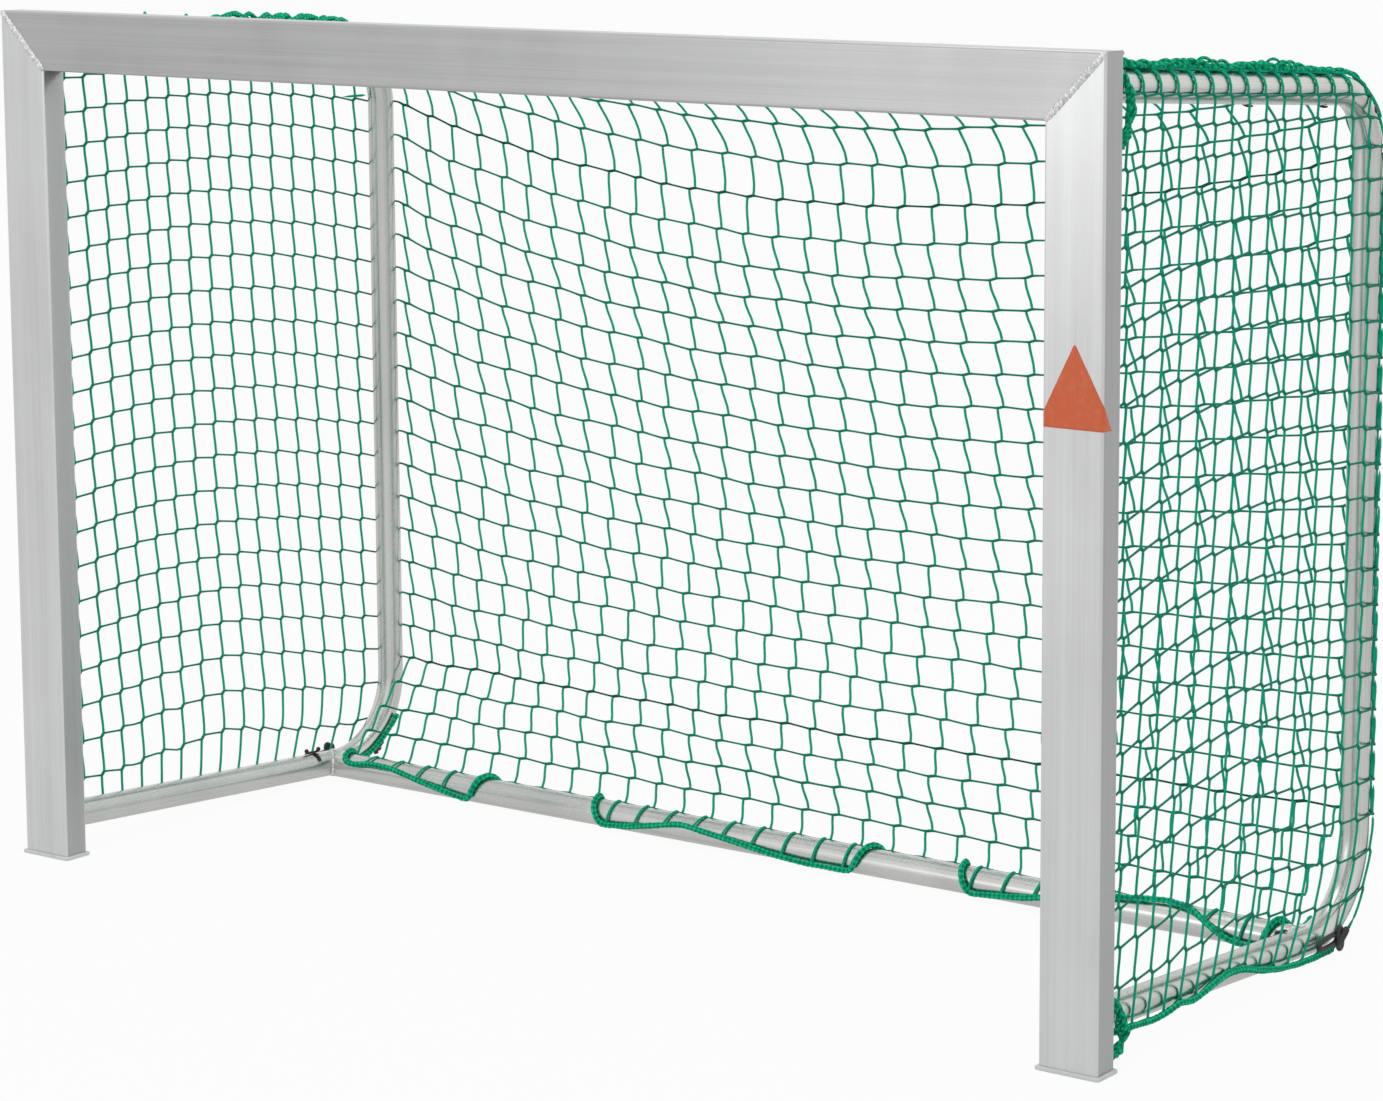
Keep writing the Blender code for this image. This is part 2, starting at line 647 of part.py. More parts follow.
def bend_frame(side, share):
    """A point on a lower bend's axis and the direction away from the bend's centre there."""
    angle = math.pi + ARM_TILT - (math.pi / 2 + ARM_TILT) * share
    y, z = bend_point(BOTTOM_BEND_Y, BOTTOM_BEND_Z, BOTTOM_BEND_RADIUS, angle)
    return Vector((side * SIDE_X, y, z)), Vector((0, math.sin(angle), math.cos(angle)))


def beside_bend(side, share, degrees, room):
    centre, outward = bend_frame(side, share)
    return turn_round(centre, outward, Vector((side, 0, 0)), math.radians(degrees), room)


def beside_arm(side, y, degrees):
    z = BOTTOM_ARM_HEIGHT - ARM_DROP * (y - PROFILE_DEPTH)
    centre = Vector((side * SIDE_X, y, z))
    outward = Vector((0, -math.sin(ARM_TILT), -math.cos(ARM_TILT)))
    return turn_round(centre, outward, Vector((side, 0, 0)), math.radians(degrees), ARM_ROPE_ROOM)


def build_ropes(rope):
    """The border rope round the mouth's rear edge, those on the lower arms and the ground tube's."""
    corner = []
    for step in range(4):
        angle = math.pi / 2 * step / 3
        across = ROPE_X - ROPE_TURN * (1 - math.cos(angle))
        corner.append((across, ROPE_Y, ROPE_Z - ROPE_TURN * (1 - math.sin(angle))))
    right = [(ROPE_X, ROPE_Y, MOUTH_ROPE_FOOT), *corner]
    route = [(-x, y, z) for x, y, z in right] + right[::-1]
    add_part("mouth_rope", swept_mesh("mouth_rope", route, ROPE_RADIUS, 2), rope)

    ends = []
    for side, label, turns in zip((-1, 1), ("left", "right"), GROUND_ROPE_ENDS):
        arm = [(ROPE_Y + ROPE_DIAMETER + GAP, 60), *ARM_LACING]
        route = lace(arm, lambda y, turn, side=side: beside_arm(side, y, turn))
        route += lace(ARM_ROPE_END, lambda at, turn, side=side: beside_bend(side, at, turn, ARM_ROPE_ROOM))
        name = f"arm_rope_{label}"
        add_part(name, swept_mesh(name, route, ROPE_RADIUS, 2), rope)
        ends.append(lace(turns, lambda at, turn, side=side: beside_bend(side, at, turn, ROPE_ROOM)))
    route = ends[0] + lace(GROUND_LACING, beside_ground) + ends[1][::-1]
    add_part("foot_rope", swept_mesh("foot_rope", route, ROPE_RADIUS, 2), rope)


def build_hook(name, centre, outward, plastic):
    """A plate on the mouth's rear face with a J that holds the border rope.

    The rope passes through centre, and outward is the way the J's open side faces.
    """
    face_y = PROFILE_DEPTH + GAP
    half = HOOK_SIZE / 2
    low = (centre.x - half, face_y, centre.z - half)
    high = (centre.x + half, face_y + HOOK_PLATE, centre.z + half)
    plate = add_part(name, box_mesh(name, low, high), plastic)
    away = ROPE_RADIUS + HOOK_WIRE / 2 + GAP
    back = Vector((0, 1, 0))
    points = [Vector((centre.x, face_y + HOOK_WIRE / 2, centre.z)) - outward * away]
    for step in range(4):
        angle = math.pi / 2 * step / 3
        points.append(centre + away * (math.sin(angle) * back - math.cos(angle) * outward))
    points.append(points[-1] + outward * HOOK_WIRE)
    wire = add_cutter(name + "_wire", swept_mesh(name + "_wire", points, HOOK_WIRE / 2, 1))
    boolean(plate, wire, "UNION")


def build_hooks(plastic):
    span = 2 * (SIDE_X - SOCKET_WIDTH) / CROSSBAR_HOOKS
    for index in range(CROSSBAR_HOOKS):
        x = (index - (CROSSBAR_HOOKS - 1) / 2) * span
        centre = Vector((x, ROPE_Y, ROPE_Z))
        build_hook(f"crossbar_hook_{index + 1}", centre, Vector((0, 0, 1)), plastic)
    rise = (ROPE_Z - BOTTOM_ARM_HEIGHT) / (POST_HOOKS + 0.5)
    for side, label in ((-1, "left"), (1, "right")):
        for index in range(POST_HOOKS):
            z = BOTTOM_ARM_HEIGHT + TUBE_DIAMETER + rise * index
            centre = Vector((side * ROPE_X, ROPE_Y, z))
            build_hook(f"post_hook_{label}_{index + 1}", centre, Vector((side, 0, 0)), plastic)


def build_clip(name, centre, along_tube, lobes_to, from_angle, to_angle, plastic):
    """A saddle on a tube, with two lobes that hold the net.

    Its angles run round the tube from the lobes' direction, in degrees.
    """
    inner, outer = TUBE_RADIUS + 2 * GAP, TUBE_RADIUS + 2 * GAP + CLIP_WALL
    bm = bmesh.new()
    corners = [(-1, inner), (1, inner), (1, outer), (-1, outer)]
    start = math.radians(from_angle)
    verts = []
    for end, radius in corners:
        place = (end * CLIP_LENGTH / 2, -radius * math.sin(start), radius * math.cos(start))
        verts.append(bm.verts.new(place))
    bm.faces.new(verts)
    bmesh.ops.spin(
        bm,
        geom=list(bm.verts) + list(bm.edges) + list(bm.faces),
        cent=(0, 0, 0),
        axis=(1, 0, 0),
        angle=math.radians(to_angle - from_angle),
        steps=round((to_angle - from_angle) / 15),
    )
    z = lobes_to.normalized()
    x = along_tube.normalized()
    y = z.cross(x)
    frame = Matrix((x, y, z)).transposed().to_4x4()
    frame.translation = centre
    clip = add_part(name, mesh_from(bm, name), plastic)
    clip.data.transform(frame)
    middle = outer - CLIP_WALL / 2
    for end in (-1, 1):
        lean = Vector((end * CLIP_LOBE_HEIGHT * 0.5, 0, middle + CLIP_LOBE_HEIGHT))
        foot = Vector((end * CLIP_LOBE_HEIGHT * 0.25, 0, middle))
        label = f"{name}_lobe_{end + 1}"
        lobe = rod_mesh(label, frame @ foot, frame @ lean, CLIP_LOBE_DIAMETER / 2, 8)
        boolean(clip, add_cutter(label, lobe), "UNION")


def build_clips(plastic):
    """Clips under the upper arms, on the lower arms and behind the lower bends."""
    down_arm = Vector((0, math.cos(ARM_TILT), -math.sin(ARM_TILT)))
    up = Vector((0, math.sin(ARM_TILT), math.cos(ARM_TILT)))
    for index, (side, label) in enumerate(((-1, "left"), (1, "right"))):
        inward = Vector((-side, 0, 0))
        turn = math.radians(TOP_CLIP_TURN)
        lobes = inward * math.sin(turn) - up * math.cos(turn)
        reach = (-50 - TOP_CLIP_TURN, 100 - TOP_CLIP_TURN)
        for number, ahead in enumerate(TOP_CLIPS_AHEAD):
            setback = TOP_BEND_Y - ahead
            z = TOP_ARM_HEIGHT - ARM_DROP * (setback - PROFILE_DEPTH)
            centre = Vector((side * SIDE_X, setback, z))
            angles = reach if side > 0 else (-reach[1], -reach[0])
            build_clip(f"top_clip_{label}_{number + 1}", centre, down_arm, lobes, *angles, plastic)
        setback = BOTTOM_BEND_Y - ARM_CLIP_AHEAD
        z = BOTTOM_ARM_HEIGHT - ARM_DROP * (setback - PROFILE_DEPTH)
        centre = Vector((side * SIDE_X, setback, z))
        degrees = ARM_CLIP_TURNS[index]
        turn = math.radians(degrees)
        lobes = inward * math.sin(turn) + up * math.cos(turn)
        reach = (-50 - degrees, 60 - degrees * 0.5)
        angles = reach if side < 0 else (-reach[1], -reach[0])
        build_clip(f"arm_clip_{label}", centre, down_arm, lobes, *angles, plastic)
        centre, outward = bend_frame(side, BEND_CLIP_SHARES[index])
        degrees = BEND_CLIP_TURNS[index]
        turn = math.radians(degrees)
        lobes = outward * math.cos(turn) - inward * math.sin(turn)
        reach = (-60 - degrees, 24 - degrees * 0.4)
        angles = reach if side > 0 else (-reach[1], -reach[0])
        around = outward.cross(Vector((1, 0, 0)))
        build_clip(f"bend_clip_{label}", centre, around, lobes, *angles, plastic)


def build():
    metal = new_material("mill aluminium", (0.62, 0.63, 0.64), 0.38, 1.0)
    tube_metal = new_material("drawn aluminium tube", (0.58, 0.59, 0.60), 0.30, 1.0)
    weld_metal = new_material("weld aluminium", (0.72, 0.72, 0.73), 0.45, 1.0)
    cap_plastic = new_material("white plastic", (0.78, 0.79, 0.80), 0.45)
    hook_plastic = new_material("black plastic", (0.015, 0.016, 0.017), 0.5)
    cord = new_material("green net cord", (0.006, 0.20, 0.09), 0.75)
    rope = new_material("green border rope", (0.004, 0.28, 0.12), 0.80)
    build_mouth(metal)
    build_corner_welds(weld_metal)
    build_foot_caps(cap_plastic)
    build_side_frames(tube_metal, weld_metal)
    build_ground_tube(tube_metal)
    build_net(cord)
    build_ropes(rope)
    build_hooks(hook_plastic)
    build_clips(hook_plastic)


clear_scene()
PARTS = new_collection("training goal")
CUTTERS = new_collection("cutters")
GOAL = bpy.data.objects.new("goal", None)
PARTS.objects.link(GOAL)
GOAL.location = (0.0, GOAL_Y, 0.0)
build()
bpy.context.view_layer.update()
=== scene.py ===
"""Dresses the training goal: drawn aluminium, weld beads, a knotless net, braided ropes and clips.

Lengths are in metres. Each piece is worked out with the mouth's front face at Y = 0 and the floor
at Z = 0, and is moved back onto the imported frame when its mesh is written.
"""

from __future__ import annotations

import logging
import math
from dataclasses import dataclass, field
from enum import Enum
from typing import Callable

import bpy
import numpy as np
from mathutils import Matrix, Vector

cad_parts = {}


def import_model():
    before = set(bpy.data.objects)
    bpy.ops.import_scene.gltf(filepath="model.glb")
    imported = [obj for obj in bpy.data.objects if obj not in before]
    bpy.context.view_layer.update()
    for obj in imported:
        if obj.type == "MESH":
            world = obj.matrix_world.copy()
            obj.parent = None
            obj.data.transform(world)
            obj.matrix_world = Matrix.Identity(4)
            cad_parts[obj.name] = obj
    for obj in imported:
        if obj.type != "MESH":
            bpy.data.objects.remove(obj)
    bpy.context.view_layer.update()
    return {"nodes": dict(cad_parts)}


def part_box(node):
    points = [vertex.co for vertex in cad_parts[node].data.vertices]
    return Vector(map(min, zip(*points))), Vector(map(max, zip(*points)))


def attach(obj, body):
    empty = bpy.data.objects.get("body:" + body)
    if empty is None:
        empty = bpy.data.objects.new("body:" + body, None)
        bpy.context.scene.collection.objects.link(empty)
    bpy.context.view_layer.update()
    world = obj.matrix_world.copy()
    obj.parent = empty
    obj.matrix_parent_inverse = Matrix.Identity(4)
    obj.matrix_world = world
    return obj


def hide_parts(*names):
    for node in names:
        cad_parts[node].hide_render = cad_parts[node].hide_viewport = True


Array = np.ndarray
Surface = Callable[[Array, Array], Array]
Controls = tuple[tuple[float, float], ...]
Triple = tuple[float, float, float]
Points = tuple[Triple, ...]
LOG = logging.getLogger("goal")


@dataclass(frozen=True)
class GoalSizes:
    """Sizes that the pieces of the goal share."""

    opening_width: float = 1.600
    opening_height: float = 1.100
    profile_width: float = 0.080
    profile_depth: float = 0.038
    profile_corner: float = 0.003
    cap_plate: float = 0.005
    cap_lip: float = 0.004
    gap: float = 0.0003
    tube_radius: float = 0.019
    tube_inset: float = 0.046
    upright_setback: float = 0.715
    arm_tilt: float = math.radians(3.55)
    top_arm_depth: float = 0.0414
    top_bend_radius: float = 0.085
    bottom_bend_radius: float = 0.120
    ground_ahead: float = 0.016
    socket_height: float = 0.056
    socket_width: float = 0.046
    socket_length: float = 0.018
    rope_radius: float = 0.004
    rope_room: float = 0.0242
    rope_clearance: float = 0.0033
    rope_setback: float = 0.0031
    net_room: float = 0.0212
    skirt_angle: float = math.radians(50)

    @property
    def half_width(self) -> float:
        """Half the mouth's outer width."""
        return self.opening_width / 2 + self.profile_width

    @property
    def height(self) -> float:
        """Height of the mouth."""
        return self.opening_height + self.profile_width

    @property
    def side_x(self) -> float:
        """Distance of a side tube's axis from the middle."""
        return self.half_width - self.tube_inset

    @property
    def drop(self) -> float:
        """How far an arm falls for each metre it runs back."""
        return math.tan(self.arm_tilt)

    @property
    def top_arm_height(self) -> float:
        """Height of the upper arm's axis at the post."""
        return self.height - self.top_arm_depth

    @property
    def top_bend_y(self) -> float:
        """Setback of the upper bend's centre."""
        return self.upright_setback - self.top_bend_radius

    @property
    def top_bend_z(self) -> float:
        """Height of the upper bend's centre."""
        fall = self.drop * (self.top_bend_y - self.profile_depth)
        return self.top_arm_height - fall - self.top_bend_radius / math.cos(self.arm_tilt)

    @property
    def bottom_bend_y(self) -> float:
        """Setback of the lower bend's centre."""
        return self.upright_setback - self.bottom_bend_radius

    @property
    def bottom_bend_z(self) -> float:
        """Height of the lower bend's centre."""
        return self.tube_radius + self.bottom_bend_radius

    @property
    def bottom_arm_height(self) -> float:
        """Height of the lower arm's axis at the post."""
        rise = self.drop * (self.bottom_bend_y - self.profile_depth)
        return self.bottom_bend_z + rise - self.bottom_bend_radius / math.cos(self.arm_tilt)

    @property
    def ground_y(self) -> float:
        """Setback of the ground tube's axis."""
        return self.bottom_bend_y - self.ground_ahead

    @property
    def rope_x(self) -> float:
        """Distance of the mouth's rope from the middle, at the posts."""
        aside = self.socket_width / 2 + self.gap + self.rope_radius + self.rope_clearance
        return self.side_x + aside

    @property
    def rope_y(self) -> float:
        """Setback of the mouth's rope."""
        return self.profile_depth + self.rope_setback + self.rope_radius

    @property
    def rope_z(self) -> float:
        """Height of the mouth's rope behind the crossbar."""
        above = self.socket_height / 2 + self.gap + self.rope_radius + self.rope_clearance
        return self.top_arm_height + above


SIZES = GoalSizes()


class Side(Enum):
    """The two sides of the goal, as signs on X."""

    LEFT = -1
    RIGHT = 1

    @property
    def label(self) -> str:
        """The side's word in the frame's node names."""
        return self.name.lower()


def unit(vectors: Array) -> Array:
    """Scales vectors to length 1.

    Args:
        vectors: array whose last axis is X, Y, Z.

    Returns:
        The same directions with length 1.
    """
    return vectors / np.maximum(np.linalg.norm(vectors, axis=-1, keepdims=True), 1e-12)


def smooth_step(low: float, high: float, value: Array) -> Array:
    """3 t squared minus 2 t cubed, where t is how far value is from low to high, kept in 0 to 1."""
    t = np.clip((value - low) / (high - low), 0.0, 1.0)
    return t * t * (3.0 - 2.0 * t)


class SurfaceSet:
    """Gathers grids of points and writes them as one mesh."""

    def __init__(self) -> None:
        """Starts with no points."""
        self.points: list[Array] = []
        self.marks: list[Array] = []
        self.loops: list[Array] = []
        self.totals: list[Array] = []
        self.uvs: list[Array] = []
        self.count = 0

    def add_grids(
        self,
        grids: Array,
        run: Array,
        turn: Array,
        around: bool,
        capped: bool,
        mark: Array | float = 0.0,
    ) -> None:
        """Adds grids of one size.

        Args:
            grids: points, as grid, row along, column across, XYZ.
            run: U of each row, as grid, row.
            turn: V of each column's edge, one more than the columns where the grid closes.
            around: whether the last column joins the first.
            capped: whether the two end rows get a flat face each.
            mark: value of the "mark" attribute, one for all these points or one for each.
        """
        many, rows, columns = grids.shape[:3]
        index = np.arange(many * rows * columns).reshape(many, rows, columns) + self.count
        near = index if around else index[:, :, :-1]
        far = np.roll(index, -1, axis=2) if around else index[:, :, 1:]
        quads = np.stack([near[:, :-1], far[:, :-1], far[:, 1:], near[:, 1:]], axis=-1)
        across = quads.shape[2]
        u = np.stack([run[:, :-1], run[:, :-1], run[:, 1:], run[:, 1:]], axis=-1)[:, :, None]
        v = np.stack([turn[:across], turn[1:][:across], turn[1:][:across], turn[:across]], axis=-1)
        uv = np.stack(np.broadcast_arrays(u, v[None, None]), axis=-1)
        self.loops.append(quads.reshape(-1))
        self.uvs.append(uv.reshape(-1, 2))
        self.totals.append(np.full(quads.size // 4, 4))
        if capped:
            ends = np.concatenate([index[:, 0, ::-1], index[:, -1]])
            end_run = np.repeat(np.concatenate([run[:, 0], run[:, -1]]), columns)
            self.loops.append(ends.reshape(-1))
            self.uvs.append(np.stack([end_run, np.full(end_run.size, 0.5)], axis=-1))
            self.totals.append(np.full(len(ends), columns))
        self.points.append(grids.reshape(-1, 3))
        self.marks.append(np.full(many * rows * columns, mark))
        self.count += many * rows * columns

    def add_rings(
        self, rings: Array, run: Array, mark: Array | float = 0.0, capped: bool = True
    ) -> None:
        """Adds one grid whose rows are closed rings, with the run as their U."""
        turn = np.arange(rings.shape[1] + 1) / rings.shape[1]
        self.add_grids(rings[None], run[None], turn, True, capped, mark)

    def add_cord(
        self, path: Array, normals: Array, radius: Array | float, sides: int, **options: object
    ) -> None:
        """Adds one round cord. The options are those of add_cords."""
        normals = np.broadcast_to(normals, path.shape)
        self.add_cords(path[None], normals[None], radius, sides, **options)

    def add_cords(
        self,
        paths: Array,
        normals: Array,
        radius: Array | float,
        sides: int,
        mark: float = 0.0,
        closed: bool = False,
        relief: Callable[[Array, Array], Array] | None = None,
    ) -> None:
        """Adds round cords: each ring is path + radius (cos a * normal + sin a * sideways).

        Args:
            paths: points, as cord, point along, XYZ.
            normals: a direction square to the path, roughly, at each point.
            radius: one value, or one for each cord and point.
            sides: points round each ring.
            mark: value of the "mark" attribute.
            closed: whether each path's last point joins its first.
            relief: extra radius from the run along a cord and the share of a turn round it.
        """
        if closed:
            paths = np.concatenate([paths, paths[:, :1]], axis=1)
            normals = np.concatenate([normals, normals[:, :1]], axis=1)
        tangent = np.gradient(paths, axis=1)
        if closed:
            ends = tangent[:, :1] + tangent[:, -1:]
            tangent = np.concatenate([ends, tangent[:, 1:-1], ends], axis=1)
        tangent = unit(tangent)
        sideways = unit(np.cross(tangent, normals))
        upward = np.cross(sideways, tangent)
        step = np.linalg.norm(np.diff(paths, axis=1), axis=-1)
        run = np.concatenate([np.zeros((len(paths), 1)), np.cumsum(step, axis=1)], axis=1)
        share = np.arange(sides) / sides
        angle = 2 * math.pi * share[:, None]
        out = np.cos(angle) * upward[:, :, None] + np.sin(angle) * sideways[:, :, None]
        reach = np.broadcast_to(np.asarray(radius, float), run.shape)[:, :, None]
        if relief is not None:
            reach = reach + relief(run[:, :, None], share[None, None, :])
        reach = np.broadcast_to(reach, (*run.shape, sides))
        grids = paths[:, :, None] + reach[..., None] * out
        self.add_grids(grids, run, np.arange(sides + 1) / sides, True, not closed, mark)

    def write(self, name: str, shift: float, sharp: float | None = None) -> bpy.types.Object:
        """Makes the mesh object.

        Args:
            name: the object's name.
            shift: distance that the piece moves along Y onto the frame.
            sharp: angle in degrees past which edges stay sharp, or None where all is smooth.

        Returns:
            The new object, at the origin.
        """
        points = np.concatenate(self.points) + np.array([0.0, shift, 0.0])
        loops = np.concatenate(self.loops).astype(np.int32)
        totals = np.concatenate(self.totals)
        starts = np.concatenate([[0], np.cumsum(totals)[:-1]]).astype(np.int32)
        mesh = bpy.data.meshes.new(name)
        mesh.vertices.add(len(points))
        mesh.vertices.foreach_set("co", points.astype(np.float32).ravel())
        mesh.loops.add(len(loops))
        mesh.polygons.add(len(starts))
        mesh.polygons.foreach_set("loop_start", starts)
        mesh.polygons.foreach_set("vertices", loops)
        layer = mesh.uv_layers.new(name="run")
        layer.data.foreach_set("uv", np.concatenate(self.uvs).astype(np.float32).ravel())
        marks = mesh.attributes.new("mark", "FLOAT", "POINT")
        marks.data.foreach_set("value", np.concatenate(self.marks).astype(np.float32))
        mesh.update(calc_edges=True)
        mesh.validate()
        mesh.shade_smooth()
        if sharp is not None:
            mesh.set_sharp_from_angle(angle=math.radians(sharp))
        piece = bpy.data.objects.new(name, mesh)
        bpy.context.scene.collection.objects.link(piece)
        return piece


class Value:
    """A shader socket that adds Math nodes when it is used in an expression."""

    def __init__(self, tree: bpy.types.NodeTree, socket: bpy.types.NodeSocket) -> None:
        """Keeps the tree and the socket."""
        self.tree = tree
        self.socket = socket

    def apply(self, operation: str, *others: Value | float, first: bool = True) -> Value:
        """Adds one Math node.

        Args:
            operation: the node's operation.
            others: the other inputs.
            first: whether this value is the first input.

        Returns:
            The node's result.
        """
        node = self.tree.nodes.new("ShaderNodeMath")
        node.operation = operation
        inputs = [self, *others] if first else [*others, self]
        for index, item in enumerate(inputs):
            if isinstance(item, Value):
                self.tree.links.new(item.socket, node.inputs[index])
            else:
                node.inputs[index].default_value = item
        return Value(self.tree, node.outputs[0])

    def __add__(self, other: Value | float) -> Value:
        """Adds."""
        return self.apply("ADD", other)

    __radd__ = __add__

    def __sub__(self, other: Value | float) -> Value:
        """Takes the other away."""
        return self.apply("SUBTRACT", other)

    def __rsub__(self, other: float) -> Value:
        """Is taken away from the other."""
        return self.apply("SUBTRACT", other, first=False)

    def __mul__(self, other: Value | float) -> Value:
        """Multiplies."""
        return self.apply("MULTIPLY", other)

    __rmul__ = __mul__

    def sine(self) -> Value:
        """The sine."""
        return self.apply("SINE")

    def clamp(self, low: float, high: float) -> Value:
        """The value kept between two limits."""
        return self.apply("MAXIMUM", low).apply("MINIMUM", high)


class Shader:
    """One material's node tree."""

    def __init__(self, name: str) -> None:
        """Starts from a Principled BSDF.

        Args:
            name: the material's name.
        """
        self.material = bpy.data.materials.new(name)
        self.material.use_nodes = True
        self.tree = self.material.node_tree
        self.surface = self.tree.nodes["Principled BSDF"]

    def node(
        self,
        kind: str,
        output: int | str = 0,
        settings: dict[str, object] | None = None,
        **inputs: object,
    ) -> Value:
        """Adds a node.

        Args:
            kind: the node's type.
            output: which of its outputs is wanted.
            settings: properties set first.
            inputs: values or links of its sockets, by name with underscores for spaces.

        Returns:
            The wanted output.
        """
        node = self.tree.nodes.new(kind)
        for key, setting in (settings or {}).items():
            setattr(node, key, setting)
        for key, item in inputs.items():
            self.feed(node.inputs[key.replace("_", " ")], item)
        return Value(self.tree, node.outputs[output])

    def feed(self, socket: bpy.types.NodeSocket, item: object) -> None:
        """Links or sets one socket."""
        if isinstance(item, Value):
            self.tree.links.new(item.socket, socket)
        else:
            socket.default_value = item

    def mix(self, factor: Value | float, first: object, second: object) -> Value:
        """Mixes two colours.

        Args:
            factor: 0 gives the first colour and 1 the second.
            first: a colour or a link.
            second: a colour or a link.

        Returns:
            The mixed colour.
        """
        node = self.tree.nodes.new("ShaderNodeMix")
        node.data_type = "RGBA"
        for index, item in ((0, factor), (6, first), (7, second)):
            self.feed(node.inputs[index], (*item, 1.0) if isinstance(item, tuple) else item)
        return Value(self.tree, node.outputs[2])

    def noise(
        self, scale: Triple | float, detail: float, source: str = "Object"
    ) -> Value:
        """Noise whose cells are 1 / scale metres across.

        Args:
            scale: how often the noise changes along each coordinate, or along all of them.
            detail: octaves.
            source: "Object", or "UV" for the run along a piece and the turn round it.

        Returns:
            A value near 0.5.
        """
        place = self.node("ShaderNodeTexCoord", output=source)
        scale = scale if isinstance(scale, tuple) else (scale,) * 3
        stretched = self.node("ShaderNodeMapping", Vector=place, Scale=scale)
        noise = {"Vector": stretched, "Scale": 1.0, "Detail": detail, "Roughness": 0.55}
        return self.node("ShaderNodeTexNoise", **noise)

    def run_and_turn(self) -> tuple[Value, Value]:
        """The run along a piece in metres and the share of a turn round it, from its UV map."""
        split = self.tree.nodes.new("ShaderNodeSeparateXYZ")
        self.feed(split.inputs[0], self.node("ShaderNodeTexCoord", output="UV"))
        return Value(self.tree, split.outputs[0]), Value(self.tree, split.outputs[1])

    def mark(self) -> Value:
        """The piece's "mark" attribute."""
        return self.node("ShaderNodeAttribute", output="Fac", settings={"attribute_name": "mark"})

    def finish(self, **inputs: object) -> bpy.types.Material:
        """Sets the surface's sockets, by name with underscores for spaces.

        Returns:
            The material.
        """
        for key, item in inputs.items():
            if isinstance(item, tuple):
                item = (*item, 1.0)
            self.feed(self.surface.inputs[key.replace("_", " ")], item)
        return self.material

    def bump(self, height: Value, distance: float, strength: float) -> Value:
        """A normal from a height.

        Args:
            height: the height, 0 to 1.
            distance: how many metres 1 stands for.
            strength: share of it that shows.

        Returns:
            The normal.
        """
        return self.node("ShaderNodeBump", Height=height, Distance=distance, Strength=strength)


class Grain(Enum):
    """Which way the drawn lines of a metal bar run, as how often they change along X, Y and Z."""

    UPRIGHT = (420.0, 420.0, 2.2)
    LEVEL = (2.2, 420.0, 420.0)
    ROUND = (2.0, 46.0, 1.0)


@dataclass(frozen=True)
class DrawnAluminium:
    """Mill aluminium: fine drawn lines, broad cloudy patches, a soft shine and painted shade on
    faces with the mark.
    """

    name: str
    grain: Grain
    dark: Triple = (0.52, 0.522, 0.525)
    light: Triple = (0.66, 0.663, 0.666)
    roughness: float = 0.33
    # Share of both greys kept on faces with the mark: painted shade wherever it is below 1.
    side_shade: float = 1.0

    def material(self) -> bpy.types.Material:
        """Lines and patches mix two greys, with painted shade that darkens faces with the mark. The
        lines also dent it.
        """
        shader = Shader(self.name)
        source = "UV" if self.grain is Grain.ROUND else "Object"
        lines = shader.noise(self.grain.value, 3.0, source)
        bands = tuple(0.16 * step for step in self.grain.value)
        broad = shader.noise(bands, 2.0, source)
        patches = shader.noise((9.0, 9.0, 5.0), 3.0)
        specks = shader.noise(160.0, 1.0)
        shade = 0.5 + 0.9 * (lines - 0.5) + 0.9 * (broad - 0.5) + 0.7 * (patches - 0.5)
        shade = shade.clamp(0.0, 1.0)
        rough = (self.roughness + 0.22 * (patches - 0.5) + 0.16 * (lines - 0.5)).clamp(0.2, 0.7)
        colour = shader.mix(shade, self.dark, self.light)
        # Painted shade: faces with the mark, the posts' sides, get both greys scaled down.
        if self.side_shade < 1.0:
            shaded_tones = [tuple(self.side_shade * part for part in tone) for tone in (self.dark, self.light)]
            colour = shader.mix(shader.mark(), colour, shader.mix(shade, *shaded_tones))
        return shader.finish(
            Base_Color=colour,
            Metallic=1.0,
            Roughness=rough,
            Normal=shader.bump(0.8 * lines + 0.2 * specks, 0.0002, 0.35),
        )


@dataclass(frozen=True)
class WeldMetal:
    """Bright weld metal with dark flecks; its roughness follows the same noise."""

    name: str = "weld bead"
    light: Triple = (0.92, 0.92, 0.92)
    dark: Triple = (0.50, 0.50, 0.51)

    def material(self) -> bpy.types.Material:
        """Dark flecks and grain over bright metal."""
        shader = Shader(self.name)
        flecks = shader.noise(260.0, 3.0)
        shade = (3.0 * (flecks - 0.34)).clamp(0.0, 1.0)
        return shader.finish(
            Base_Color=shader.mix(shade, self.dark, self.light),
            Metallic=1.0,
            Roughness=(0.30 + 0.35 * flecks).clamp(0.2, 0.7),
            Normal=shader.bump(flecks, 0.0006, 0.6),
        )


@dataclass(frozen=True)
class MouldedPlastic:
    """Plain moulded plastic with a fine grain and scuffs."""

    name: str
    colour: Triple
    scuffed: Triple
    roughness: float = 0.42

    def material(self) -> bpy.types.Material:
        """Scuffs lighten or dull the colour in patches."""
        shader = Shader(self.name)
        scuffs = shader.noise(70.0, 4.0)
        grain = shader.noise(900.0, 1.0)
        share = (3.0 * (scuffs - 0.5)).clamp(0.0, 1.0)
        return shader.finish(
            Base_Color=shader.mix(share, self.colour, self.scuffed),
            Roughness=(self.roughness + 0.25 * (scuffs - 0.5)).clamp(0.1, 0.9),
            Normal=shader.bump(grain, 0.0001, 0.3),
        )


